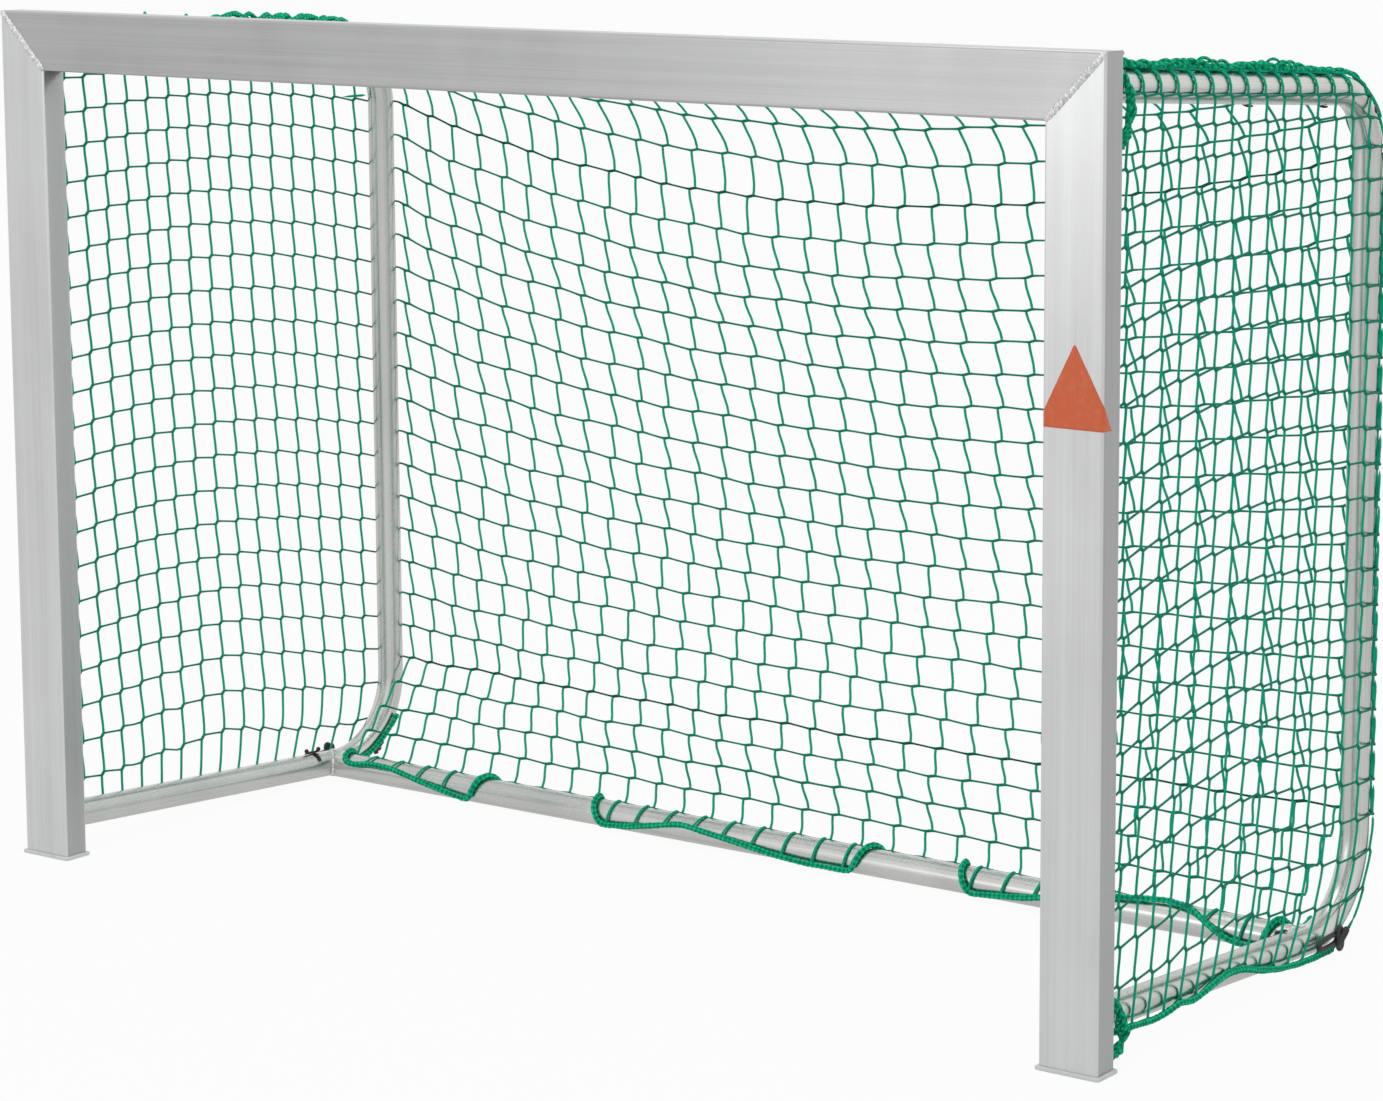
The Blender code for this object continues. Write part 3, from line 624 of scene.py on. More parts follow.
@dataclass(frozen=True)
class BraidedCord:
    """Braided cord: crossing strands, cloudy colour, painted shade between the strands and a dull
    surface.
    """

    name: str
    colour: Triple
    shade: Triple
    taut: Triple
    pitch: float
    strands: int
    depth: float
    contrast: float = 0.55
    patches: float = 35.0

    def material(self) -> bpy.types.Material:
        """Strands are the product of two sines that wind opposite ways round the cord. Painted
        shade fills the troughs between them.
        """
        shader = Shader(self.name)
        run, turn = shader.run_and_turn()
        along = run * (2 * math.pi / self.pitch)
        about = turn * (2 * math.pi * self.strands)
        weave = (along + about).sine() * (along - about).sine()
        height = 0.5 + 0.5 * weave
        cloud = shader.noise(self.patches, 3.0)
        base = shader.mix(shader.mark(), self.colour, self.taut)
        # Painted shade: the shade colour goes into the troughs between strands, as contrast times
        # one minus the height, and also follows random cloudy patches.
        share = (self.contrast * (1.0 - height) + 1.1 * (cloud - 0.45)).clamp(0.0, 1.0)
        return shader.finish(
            Base_Color=shader.mix(share, base, self.shade),
            Roughness=(0.62 + 0.2 * (1.0 - height)).clamp(0.0, 1.0),
            Specular_IOR_Level=0.12,
            Normal=shader.bump(height, self.depth, 0.7),
        )


@dataclass(frozen=True)
class BlankFilm:
    """A plain coloured film with small creases and rubbed spots."""

    name: str = "orange film"
    colour: Triple = (0.88, 0.16, 0.05)
    worn: Triple = (0.90, 0.27, 0.13)

    def material(self) -> bpy.types.Material:
        """Rubbed spots are paler, and low waves crease the film."""
        shader = Shader(self.name)
        rubs = shader.noise(120.0, 4.0)
        waves = shader.noise((40.0, 40.0, 90.0), 1.0)
        share = (2.4 * (rubs - 0.5)).clamp(0.0, 1.0)
        return shader.finish(
            Base_Color=shader.mix(share, self.colour, self.worn),
            Roughness=(0.35 + 0.3 * (rubs - 0.5)).clamp(0.1, 0.8),
            Normal=shader.bump(waves, 0.0004, 0.3),
        )


@dataclass
class Workshop:
    """Writes pieces onto the frame, and makes each finish once."""

    shift: float
    made: dict[str, bpy.types.Material] = field(default_factory=dict)

    def material(self, finish: object) -> bpy.types.Material:
        """The finish's material.

        Args:
            finish: a finish with a name and a material method.

        Returns:
            The one material of that name.
        """
        if finish.name not in self.made:
            self.made[finish.name] = finish.material()
        return self.made[finish.name]

    def piece(
        self,
        name: str,
        surfaces: SurfaceSet,
        finish: object,
        slot: str,
        *nodes: str,
        sharp: float | None = None,
    ) -> bpy.types.Object:
        """Writes a piece, dresses it and hands it to the frame.

        Args:
            name: the piece's name.
            surfaces: its shape.
            finish: its finish.
            slot: not used.
            nodes: frame nodes that it stands for.
            sharp: angle in degrees past which its edges stay sharp.

        Returns:
            The piece.
        """
        made = surfaces.write(name, self.shift, sharp)
        made.data.materials.append(self.material(finish))
        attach(made, "root")
        if nodes:
            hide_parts(*nodes)
        LOG.info("%s: %d faces", name, len(made.data.polygons))
        return made

    def dress(self, node: bpy.types.Object, finish: object) -> None:
        """Gives a frame node a finish."""
        node.data.materials.clear()
        node.data.materials.append(self.material(finish))


# The last value paints shade on the posts' side faces, scaling their greys to two thirds.
POST_METAL = DrawnAluminium(
    "post aluminium", Grain.UPRIGHT, (0.60, 0.602, 0.606), (0.74, 0.743, 0.747), side_shade=0.66
)
# Painted shade: the crossbar takes darker greys than the posts, standing in for its darker look
# under the light.
SHADED_BAR_METAL = DrawnAluminium(
    "crossbar aluminium", Grain.LEVEL, (0.40, 0.401, 0.405), (0.52, 0.522, 0.526)
)
TUBE_METAL = DrawnAluminium(
    "tube aluminium", Grain.ROUND, (0.46, 0.46, 0.445), (0.74, 0.74, 0.72), roughness=0.27
)
SOCKET_METAL = DrawnAluminium("socket aluminium", Grain.UPRIGHT, roughness=0.42)
WELD_METAL = WeldMetal()
CAP_PLASTIC = MouldedPlastic("white cap plastic", (0.88, 0.89, 0.90), (0.74, 0.75, 0.77))
HOOK_PLASTIC = MouldedPlastic(
    "black hook plastic", (0.012, 0.013, 0.014), (0.05, 0.05, 0.052), roughness=0.38
)
PLUG_PLASTIC = MouldedPlastic("dark red plug", (0.08, 0.012, 0.016), (0.03, 0.008, 0.01))
# Each shade colour below is painted shade for the troughs between strands, and also marks random
# cloudy patches.
NET_CORD = BraidedCord(
    name="green net cord",
    colour=(0.004, 0.60, 0.35),
    shade=(0.004, 0.38, 0.22),
    taut=(0.014, 0.235, 0.160),
    pitch=0.004,
    strands=2,
    depth=0.0003,
)
BORDER_ROPE = BraidedCord(
    name="green border rope",
    colour=(0.012, 0.82, 0.44),
    shade=(0.003, 0.26, 0.13),
    taut=(0.012, 0.82, 0.44),
    pitch=0.015,
    strands=2,
    depth=0.0011,
    contrast=1.15,
    patches=110.0,
)
FILM = BlankFilm()


@dataclass(frozen=True)
class ArmLine:
    """The axis of an arm and its bend in the YZ plane. Out is away from the goal's inside."""

    upper: bool

    def centre(self) -> Triple:
        """Centre and radius of the bend."""
        if self.upper:
            return SIZES.top_bend_y, SIZES.top_bend_z, SIZES.top_bend_radius
        return SIZES.bottom_bend_y, SIZES.bottom_bend_z, SIZES.bottom_bend_radius

    def height(self, setback: Array | float) -> Array | float:
        """Height of the straight part's axis at a setback."""
        start = SIZES.top_arm_height if self.upper else SIZES.bottom_arm_height
        return start - SIZES.drop * (setback - SIZES.profile_depth)

    def angles(self) -> tuple[float, float]:
        """Where the bend starts and ends, from straight up towards the back."""
        start = SIZES.arm_tilt if self.upper else math.pi + SIZES.arm_tilt
        return start, math.pi / 2

    def at(self, share: Array, offset: Array | float, start: float = SIZES.profile_depth) -> Array:
        """Points beside the arm and bend.

        A straight run, then centre + (radius + offset)(sin angle, cos angle).

        Args:
            share: how far along the arm and bend, 0 at the post and 1 at the upright.
            offset: distance out from the axis.
            start: setback of share 0.

        Returns:
            Y and Z in the last axis.
        """
        y, z, radius = self.centre()
        first, last = self.angles()
        straight = (y + radius * math.sin(first) - start) / math.cos(SIZES.arm_tilt)
        curved = radius * abs(last - first)
        run = np.asarray(share) * (straight + curved)
        bent = np.clip((run - straight) / curved, 0.0, None)
        angle = first + (last - first) * bent
        back = np.minimum(run - straight, 0.0)
        out = radius + offset
        return np.stack(
            [
                y + out * np.sin(angle) + back * math.cos(SIZES.arm_tilt),
                z + out * np.cos(angle) - back * math.sin(SIZES.arm_tilt),
            ],
            axis=-1,
        )


UPPER = ArmLine(True)
LOWER = ArmLine(False)


@dataclass
class Mouth:
    """The two posts, the crossbar, the beads in their mitres and the caps under the posts."""

    corner_steps: int = 6
    flat_lead: float = 0.0006
    weld_width: float = 0.0092
    weld_height: float = 0.0025
    weld_pitch: float = 0.0048
    weld_inset: float = 0.0015
    weld_curve: float = 0.42
    cap_corner: float = 0.0042
    mitre_gap: float = 0.7 * SIZES.gap

    def section(self, width: float, depth: float, corner: float) -> Array:
        """A rectangle with rounded corners, as quarter circles and a point just inside each flat.

        Args:
            width: size along the first axis.
            depth: size along the second axis.
            corner: corner radius.

        Returns:
            Points round the section, counter-clockwise, centred on 0.
        """
        turn = np.linspace(0.0, math.pi / 2, self.corner_steps + 1)
        arc = corner * np.stack([np.cos(turn), np.sin(turn)], axis=-1)
        lead = min(self.flat_lead, corner / 3)
        arc = np.concatenate([[[corner, -lead]], arc, [[-lead, corner]]])
        quarters = []
        for quarter in range(4):
            c, s = round(math.cos(quarter * math.pi / 2)), round(math.sin(quarter * math.pi / 2))
            sign = np.array([1 if quarter in (0, 3) else -1, 1 if quarter in (0, 1) else -1])
            middle = sign * (np.array([width, depth]) / 2 - corner)
            quarters.append(middle + arc @ np.array([[c, s], [-s, c]]))
        return np.concatenate(quarters)

    def rings(self, width: float, depth: float, insets: Array, corner: float) -> Array:
        """Sections that are smaller all round by each inset, as ring, point, axis."""
        sizes = [(width - 2 * inset, depth - 2 * inset) for inset in insets]
        return np.stack([self.section(*size, corner) for size in sizes])

    def bar(
        self, across: Array, starts: Array, ends: Array, axis: int, mark: Array | float = 0.0
    ) -> SurfaceSet:
        """A straight bar between two cut ends.

        Args:
            across: section points in the two axes other than the bar's, in their order.
            starts: where each point's edge starts along the bar.
            ends: where it ends.
            axis: the bar's axis.
            mark: value of the "mark" attribute on the bar's points, the start's first.

        Returns:
            The bar's surface.
        """
        grid = np.zeros((2, len(across), 3))
        grid[:, :, [other for other in range(3) if other != axis]] = across
        grid[:, :, axis] = starts, ends
        surfaces = SurfaceSet()
        surfaces.add_rings(grid, np.array([0.0, 1.0]), mark)
        return surfaces

    def build(self, shop: Workshop) -> None:
        """Builds every piece of the mouth."""
        width, depth = SIZES.profile_width, SIZES.profile_depth
        half, height = SIZES.half_width, SIZES.height
        section = self.section(width, depth, SIZES.profile_corner)
        for side in Side:
            x = side.value * (half - width / 2)
            across = section + np.array([x, depth / 2])
            top = height - (half - side.value * across[:, 0]) - self.mitre_gap
            foot = np.full(len(across), SIZES.cap_plate + SIZES.gap)
            name = f"post_{side.label}"
            # The posts' side faces get the mark, where the post metal paints shade.
            shaded_sides = np.tile(np.abs(section[:, 0]) > width / 2 - 1e-5, 2).astype(float)
            post = self.bar(across, foot, top, 2, shaded_sides)
            shop.piece(f"{name}_profile", post, POST_METAL, "mouth_metal", name, sharp=50)
            self.build_cap(shop, side, x)
            self.build_bead(shop, side)
        across = section[:, ::-1][::-1] + np.array([depth / 2, height - width / 2])
        reach = half - (height - across[:, 1]) - self.mitre_gap
        bar = self.bar(across, -reach, reach, 0)
        shop.piece("crossbar_profile", bar, SHADED_BAR_METAL, "mouth_metal", "crossbar", sharp=50)

    def build_cap(self, shop: Workshop, side: Side, x: float) -> None:
        """A plate under a post: the section shrinks by an inset that follows a quarter circle."""
        plate, lip = SIZES.cap_plate, SIZES.cap_lip
        rounding = np.array([0.0016, 0.0010, 0.0003])
        heights = np.concatenate([[0.0, 0.0], rounding[::-1], plate - rounding, [plate, plate]])
        edge = np.array([0.0, 0.0001, 0.0006, 0.0014])
        insets = np.concatenate([[0.0060], edge[::-1], edge, [0.0042]])
        outer = SIZES.profile_width + 2 * lip, SIZES.profile_depth + 2 * lip
        rings = self.rings(*outer, insets, self.cap_corner)
        grid = np.zeros((*rings.shape[:2], 3))
        grid[..., :2] = rings + np.array([x, SIZES.profile_depth / 2])
        grid[..., 2] = heights[:, None]
        surfaces = SurfaceSet()
        surfaces.add_rings(grid, heights)
        name = f"foot_cap_{side.label}"
        shop.piece(f"{name}_plate", surfaces, CAP_PLASTIC, "cap_plastic", name, sharp=60)

    def build_bead(self, shop: Workshop, side: Side) -> None:
        """The bead on a mitre, front and back.

        Its height is half an ellipse across, times a saw wave along, whose teeth curve like
        crescents.
        """
        end = np.array([SIZES.half_width, SIZES.height])
        start = end - SIZES.profile_width
        length = float(np.linalg.norm(end - start))
        direction = (end - start) / length
        square = np.array([-direction[1], direction[0]])
        run = np.linspace(self.weld_inset, length - self.weld_inset, 210)[:, None]
        angle = np.linspace(0.0, 2 * math.pi, 24, endpoint=False)[None, :]
        across = np.cos(angle) * np.ones_like(run)
        phase = run / self.weld_pitch + self.weld_curve * across**2
        tooth = phase - np.floor(phase)
        swell = 0.55 + 0.45 * np.sqrt(np.clip(1 - (2 * tooth - 1) ** 2, 0.0, 1.0))
        fade = np.sqrt(np.clip(1 - (2 * run / length - 1) ** 12, 0.05, 1.0))
        wide = self.weld_width / 2 * fade * (0.93 + 0.07 * np.sin(run * 900.0))
        lift = np.where(np.sin(angle) > 0, self.weld_height * np.sin(angle) * swell * fade, -0.0003)
        surfaces = SurfaceSet()
        for face, out in ((0.0, -1.0), (SIZES.profile_depth, 1.0)):
            grid = np.zeros((len(run), angle.size, 3))
            flat = start + run[..., None] * direction + (across * wide)[..., None] * square
            grid[:, :, [0, 2]] = flat * np.array([side.value, 1.0])
            grid[:, :, 1] = face + out * lift
            if side.value * out > 0:
                grid = grid[:, ::-1]
            surfaces.add_rings(grid, run[:, 0])
        name = f"corner_weld_{side.label}"
        shop.piece(f"{name}_bead", surfaces, WELD_METAL, "weld_metal", name, sharp=70)


@dataclass
class SideFrames:
    """The bent tubes, their sockets, the ground tube and the welds between them."""

    sides: int = 40
    ripple: float = 0.0042
    arm_bead: float = 0.0030
    saddle_bead: float = 0.0026
    saddle_reach: float = 2.35
    saddle_inset: float = 0.0012
    saddle_room: float = 0.0008
    socket_corner: float = 0.0045

    def tube_path(self, side: Side) -> Array:
        """The axis: upper arm, bend, upright, bend and lower arm."""
        share = np.concatenate([np.linspace(0.0, 0.80, 14), np.linspace(0.805, 1.0, 26)])
        low_share = np.concatenate([np.linspace(0.0, 0.72, 14), np.linspace(0.73, 1.0, 30)])
        top = UPPER.at(share, 0.0, SIZES.profile_depth + SIZES.gap)
        low = LOWER.at(low_share, 0.0, SIZES.profile_depth + SIZES.gap)[::-1]
        middle = top[-1] + (low[0] - top[-1]) * np.linspace(0.0, 1.0, 14)[1:-1, None]
        line = np.concatenate([top, middle, low])
        return np.column_stack([np.full(len(line), side.value * SIZES.side_x), line])

    def build(self, shop: Workshop) -> None:
        """Builds both side frames and the ground tube."""
        for side in Side:
            path = self.tube_path(side)
            surfaces = SurfaceSet()
            surfaces.add_cord(path, [1.0, 0.0, 0.0], SIZES.tube_radius, self.sides)
            name = f"side_tube_{side.label}"
            shop.piece(f"{name}_bend", surfaces, TUBE_METAL, "tube_metal", name, sharp=60)
            self.build_socket(shop, side)
            self.build_arm_weld(shop, side)
        self.build_ground_tube(shop)

    def build_socket(self, shop: Workshop, side: Side) -> None:
        """A short block behind the post, whose rear edge follows a quarter circle."""
        insets = np.array([0.0, 0.0, 0.0, 0.0002, 0.0007, 0.0016, 0.0030])
        places = np.concatenate([[0.0, 0.002], SIZES.socket_length - insets[:1:-1]])
        shape = Mouth(corner_steps=5)
        rings = shape.rings(SIZES.socket_width, SIZES.socket_height, insets, self.socket_corner)
        grid = np.zeros((*rings.shape[:2], 3))
        grid[..., [0, 2]] = rings + np.array([side.value * SIZES.side_x, SIZES.top_arm_height])
        grid[..., 1] = (places + SIZES.profile_depth + SIZES.gap)[:, None]
        surfaces = SurfaceSet()
        surfaces.add_rings(grid[:, ::-1], places)
        name = f"arm_socket_{side.label}"
        shop.piece(f"{name}_block", surfaces, SOCKET_METAL, "tube_metal", name, sharp=60)

    def bead(self, path: Array, normals: Array, radius: float, closed: bool) -> SurfaceSet:
        """A rippled bead: the radius rises and falls by a fifth with each ripple.

        Args:
            path: the bead's line.
            normals: a direction square to it at each point.
            radius: its mean radius.
            closed: whether the line is a loop.

        Returns:
            The bead's surface.
        """
        surfaces = SurfaceSet()

        def relief(run: Array, share: Array) -> Array:
            """Ripples that lag behind at the bead's sides."""
            lag = 0.25 * np.cos(2 * math.pi * share)
            return 0.2 * radius * np.abs(np.sin(math.pi * (run / self.ripple + lag))) - 0.1 * radius

        surfaces.add_cord(path, normals, radius, 12, closed=closed, relief=relief)
        return surfaces

    def build_arm_weld(self, shop: Workshop, side: Side) -> None:
        """The bead round the lower arm, on the post's rear face: a circle about the arm's axis."""
        angle = np.linspace(0.0, 2 * math.pi, 160, endpoint=False)
        out = np.column_stack([np.cos(angle), np.zeros_like(angle), np.sin(angle)])
        back = SIZES.profile_depth + 0.0016
        centre = np.array([side.value * SIZES.side_x, back, SIZES.bottom_arm_height])
        path = centre + (SIZES.tube_radius + 0.0012) * out
        surfaces = self.bead(path, out, self.arm_bead, closed=True)
        name = f"arm_weld_{side.label}"
        shop.piece(f"{name}_bead", surfaces, WELD_METAL, "weld_metal", name)

    def build_ground_tube(self, shop: Workshop) -> None:
        """The ground tube and its saddle beads.

        Each line of the tube ends on the side tube: x = side - sqrt(R squared - dz squared), where
        dz is its height over the side tube's axis. The beads run along that edge.
        """
        radius = SIZES.tube_radius
        axis_z = LOWER.height(SIZES.ground_y)

        def edge(angle: Array, room: float) -> tuple[Array, Array, Array]:
            """X, Y and Z of the lines' ends, at angles from the tube's top towards the back."""
            z = radius + room * np.cos(angle)
            x = SIZES.side_x - np.sqrt(np.clip(radius**2 - (z - axis_z) ** 2, 0.0, None))
            return x, SIZES.ground_y + room * np.sin(angle), z

        x, y, z = edge(np.linspace(0.0, 2 * math.pi, self.sides, endpoint=False), radius)
        share = np.linspace(-1.0, 1.0, 25)
        grid = np.stack(np.broadcast_arrays(share[:, None] * x, y, z), axis=-1)
        surfaces = SurfaceSet()
        surfaces.add_rings(grid[:, ::-1], share * SIZES.side_x, capped=False)
        shop.piece("ground_tube_round", surfaces, TUBE_METAL, "tube_metal", "ground_tube", sharp=60)
        bow = np.linspace(-self.saddle_reach, self.saddle_reach, 130)
        out = np.column_stack([np.zeros_like(bow), np.sin(bow), np.cos(bow)])
        x, y, z = edge(bow, radius + self.saddle_room)
        for side in Side:
            path = np.column_stack([side.value * (x - self.saddle_inset), y, z])
            surfaces = self.bead(path, out, self.saddle_bead, closed=False)
            shop.piece(f"saddle_weld_{side.label}", surfaces, WELD_METAL, "weld_metal")


@dataclass(frozen=True)
class Lacing:
    """Where the ropes lie round the tubes, as pairs of a place and an angle in degrees.

    The ground tube's angle runs from its top towards the mouth, and the arms' and bends' from
    their underside outwards. Places on the ground tube are shares of the side tubes' distance
    from the middle, those on an arm are setbacks, and those on a bend are shares of the bend.
    """

    arm_room: float = 0.0284
    ground: Controls = (
        (-0.966, -85), (-0.962, -60), (-0.957, 0), (-0.950, 55), (-0.925, 66), (-0.895, 52),
        (-0.839, 53), (-0.771, 77), (-0.716, 97), (-0.653, 120), (-0.640, 62), (-0.630, -10),
        (-0.615, -95), (-0.395, -95), (-0.380, -10), (-0.370, 62), (-0.355, 118), (-0.296, 106),
        (-0.180, 63), (-0.067, 87), (0.011, 108), (0.072, 120), (0.173, 120), (0.188, 55),
        (0.198, -20), (0.212, -95), (0.364, -95), (0.378, -20), (0.388, 55), (0.403, 120),
        (0.514, 96), (0.657, 45), (0.765, 12), (0.811, 30), (0.855, 81), (0.885, 112),
        (0.905, 120), (0.940, 120), (0.950, 55), (0.957, 0), (0.962, -60), (0.966, -85),
    )
    arm: Controls = (
        (0.0534, 60), (0.110, 55), (0.175, 46), (0.220, 75), (0.255, 66), (0.295, 90),
        (0.335, 105), (0.375, 102), (0.415, 83), (0.470, 65), (0.530, 55), (0.580, 58),
    )
    arm_end: Controls = ((0.03, 61), (0.07, 60), (0.12, 60))
    left_end: Controls = ((0.68, -78), (0.50, -90), (0.34, -90), (0.20, -90))
    right_end: Controls = ((0.32, -90), (0.20, -90))

    def turn(self, controls: Controls, place: Array) -> Array:
        """The angle at each place, in radians."""
        table = np.array(controls, float)
        return np.radians(np.interp(place, table[:, 0], table[:, 1]))

    def walk(self, controls: Controls, count: int) -> tuple[Array, Array]:
        """Places and angles in radians at even steps from control to control."""
        table = np.array(controls, float)
        step = np.linspace(0.0, len(table) - 1.0, count)
        place, angle = (np.interp(step, np.arange(len(table)), column) for column in table.T)
        return place, np.radians(angle)


LACING = Lacing()


@dataclass(frozen=True)
class KnotlessMesh:
    """How the net is made: two sets of cords that run together through a short slanting joint."""

    cord_radius: float = 0.00180
    taut_radius: float = 0.00145
    loose_swell: float = 1.12
    taut_swell: float = 1.55
    sides: int = 6
    slope_step: float = 0.002

    def cells(self, lines: Array, near: float, curl: bool) -> tuple[Array, Array, Array]:
        """Sample places along a cord between crossing lines.

        In a joint the cord goes from one end of the joint to the other. Between joints it goes
        back: evenly where it is taut, or as half a cosine wave where it hangs loose.

        Args:
            lines: places of the crossing cords.
            near: half the joint's length along this cord.
            curl: whether the cord hangs loose.

        Returns:
            The places, the sway from -0.5 to 0.5, and 1 in a joint and 0 between joints.
        """
        share = np.array([0.0, 0.10, 0.28, 0.5, 0.72, 0.90, 1.0])
        sway = 0.5 * np.cos(math.pi * share) if curl else 0.5 - share
        begin, finish = lines[:-1] + near, lines[1:] - near
        place = (begin[:, None] + (finish - begin)[:, None] * share).ravel()
        count = len(lines) - 1
        joint = np.array([1.0, 0.25, 0.0, 0.0, 0.0, 0.25, 1.0])
        place = np.concatenate([lines[:1], place, lines[-1:]])
        sway = np.concatenate([[0.0], np.tile(sway, count), [0.0]])
        joint = np.concatenate([[1.0], np.tile(joint, count), [1.0]])
        return place, sway, joint

    def normals(self, surface: Surface, a: Array, b: Array) -> Array:
        """The surface's normal, from the cross product of its two slopes."""
        e = self.slope_step
        along = surface(a + e, b) - surface(a - e, b)
        return unit(np.cross(along, surface(a, b + e) - surface(a, b - e)))

    def weave(
        self, surface: Surface, columns: Array, rows: Array, joint: tuple[float, float]
    ) -> SurfaceSet:
        """Lays the cords on a surface.

        Args:
            surface: gives points from two distances in metres.
            columns: first distances of the loose cords that run along the second.
            rows: second distances of the taut cords that run along the first.
            joint: a joint's extent along both distances, with its slant in the signs.

        Returns:
            The net's surface.
        """
        surfaces = SurfaceSet()
        wide, tall = joint
        slant = math.copysign(1.0, wide * tall)
        b, sway, knot = self.cells(rows, abs(tall) / 2, True)
        a = columns[:, None] + slant * abs(wide) * sway[None]
        b = np.broadcast_to(b, a.shape)
        radius = self.cord_radius * (1.0 + (self.loose_swell - 1.0) * knot)
        radius = np.broadcast_to(radius, a.shape)
        surfaces.add_cords(surface(a, b), self.normals(surface, a, b), radius, self.sides, 0.0)
        a, sway, knot = self.cells(columns, abs(wide) / 2, False)
        b = rows[:, None] + slant * abs(tall) * sway[None]
        a = np.broadcast_to(a, b.shape)
        radius = self.taut_radius * (1.0 + (self.taut_swell - 1.0) * knot)
        radius = np.broadcast_to(radius, b.shape)
        surfaces.add_cords(surface(a, b), self.normals(surface, a, b), radius, self.sides, 1.0)
        return surfaces


@dataclass
class NetSheet:
    """The one sheet: over the arms, round the fold, down the back and in to the ground tube."""

    sag: float = 0.060
    pull: float = 0.030
    slide: float = 0.050
    columns: int = 33
    rows: tuple[int, int, int, int] = (12, 3, 17, 4)
    lift: float = 0.0015
    rear_inset: float = 0.0025
    rounding: float = 0.38
    rounding_fades: tuple[float, float] = (0.25, 0.12)
    pull_fade: float = 0.25
    still_edge: float = 0.12
    still_end: float = 0.1
    top_turn: float = 0.25
    joint: tuple[float, float] = (0.0096, -0.0026)
    table: Array = field(init=False)
    ends: Array = field(init=False)

    def __post_init__(self) -> None:
        """Lays out the sheet's line over a side tube.

        The table's columns are the run, Y and Z of the line, its slope, and Y and Z of the line
        averaged over the rounding either way, with its end run on straight.
        """
        room = SIZES.net_room + self.lift
        y, z, radius = SIZES.top_bend_y, SIZES.top_bend_z, SIZES.top_bend_radius + room
        front = np.array([[SIZES.rope_y + 0.004, SIZES.rope_z - 0.002]])
        setbacks = np.linspace(0.18, y, 10)
        arm = np.column_stack([setbacks, UPPER.height(setbacks) + room / math.cos(SIZES.arm_tilt)])
        angle = np.linspace(SIZES.arm_tilt, math.pi / 2, 24)
        fold = np.column_stack([y + radius * np.sin(angle), z + radius * np.cos(angle)])
        heights = np.linspace(z, SIZES.bottom_bend_z + SIZES.tube_radius, 30)[1:]
        inset = self.rear_inset * smooth_step(z, z - 0.1, heights)
        back = np.column_stack([y + radius - inset, heights])
        angle = SIZES.skirt_angle
        axis = np.array([SIZES.ground_y, SIZES.tube_radius])
        foot = axis + SIZES.net_room * np.array([math.sin(angle), math.cos(angle)])
        skirt = back[-1] + (foot - back[-1]) * np.linspace(0.0, 1.0, 9)[1:, None]
        line = np.concatenate([front, arm, fold, back, skirt])
        steps = np.linalg.norm(np.diff(line, axis=0), axis=1)
        run = np.concatenate([[0.0], np.cumsum(steps)])
        slopes = unit(np.gradient(line, run, axis=0))
        marks = np.cumsum([len(arm) + 1, len(fold) - 1, len(back), len(skirt)])
        self.ends = np.concatenate([[0.0], run[marks]])
        far_run = np.append(run, run[-1] + self.rounding)
        far = np.vstack([line, line[-1] + self.rounding * slopes[-1]])
        window = run[:, None] + self.rounding * np.linspace(-1.0, 1.0, 33)
        rounded = [np.interp(window, far_run, column).mean(axis=1) for column in far.T]
        self.table = np.column_stack([run, line, slopes, *rounded])

    def slack(self, x: Array) -> Array:
        """How freely the net hangs at x: a sine arch between the side tubes, to the power 0.8."""
        inner = SIZES.side_x - SIZES.tube_radius
        return np.clip(np.cos(0.5 * math.pi * np.clip(x / inner, -1.0, 1.0)), 0.0, 1.0) ** 0.8

    def at(self, x: Array, run: Array) -> Array:
        """Points of the sheet.

        The line over the side tubes, lowered by sag and drawn in by pull. Both grow in proportion
        to the distance over the top and hold round the fold. The sag fades down the back, and the
        pull near the end. The sheet also slides down along itself in the middle, as one half sine
        over its whole run. Past a side tube's axis it turns over the tube on a circle: sideways by
        the room times the sine of the turn, and inwards by the room times one minus its cosine,
        with a quarter of the turn over the top. Between the tubes the corner over the lower bends
        is rounded.

        Args:
            x: distance from the middle.
            run: distance from the front edge.

        Returns:
            Points in the last axis.
        """
        x, run = np.broadcast_arrays(np.asarray(x, float), np.asarray(run, float))
        _, top_end, fold_end, back_end, last = self.ends
        loose = self.slack(x)
        run = run + self.slide * loose * np.sin(math.pi * np.clip(run / last, 0.0, 1.0))
        runs, *lines = self.table.T
        y, z, slope_y, slope_z, round_y, round_z = (np.interp(run, runs, line) for line in lines)
        first_fade, last_fade = self.rounding_fades
        eased = loose * smooth_step(fold_end, fold_end + first_fade, run)
        eased = eased * smooth_step(last, last - last_fade, run)
        y, z = y + eased * (round_y - y), z + eased * (round_z - z)
        top = np.clip(run / top_end, 0.0, 1.0)
        down = np.clip((back_end - run) / (back_end - fold_end), 0.0, 1.0)
        wave = 0.0006 * np.sin(31.0 * x + 17.0 * run) + 0.0005 * np.sin(47.0 * run - 23.0 * x)
        still = smooth_step(SIZES.side_x, SIZES.side_x - self.still_edge, np.abs(x))
        still = still * smooth_step(0.0, self.still_end, run)
        wave = wave * still * smooth_step(last, last - self.still_end, run)
        fade_y = np.minimum(top, smooth_step(last, last - self.pull_fade, run))
        fade_z = np.minimum(top, down**1.3)
        turn = np.clip((np.abs(x) - SIZES.side_x) / SIZES.net_room, 0.0, math.pi / 2)
        turn = turn * (self.top_turn + (1.0 - self.top_turn) * smooth_step(top_end, fold_end, run))
        tuck = SIZES.net_room * (1.0 - np.cos(turn))
        across = np.minimum(np.abs(x), SIZES.side_x) + SIZES.net_room * np.sin(turn)
        return np.stack(
            [
                np.sign(x) * across + 2.0 * wave,
                y + tuck * slope_z - self.pull * loose * fade_y + 1.5 * wave,
                z - tuck * slope_y - self.sag * loose * fade_z + 1.2 * wave,
            ],
            axis=-1,
        )

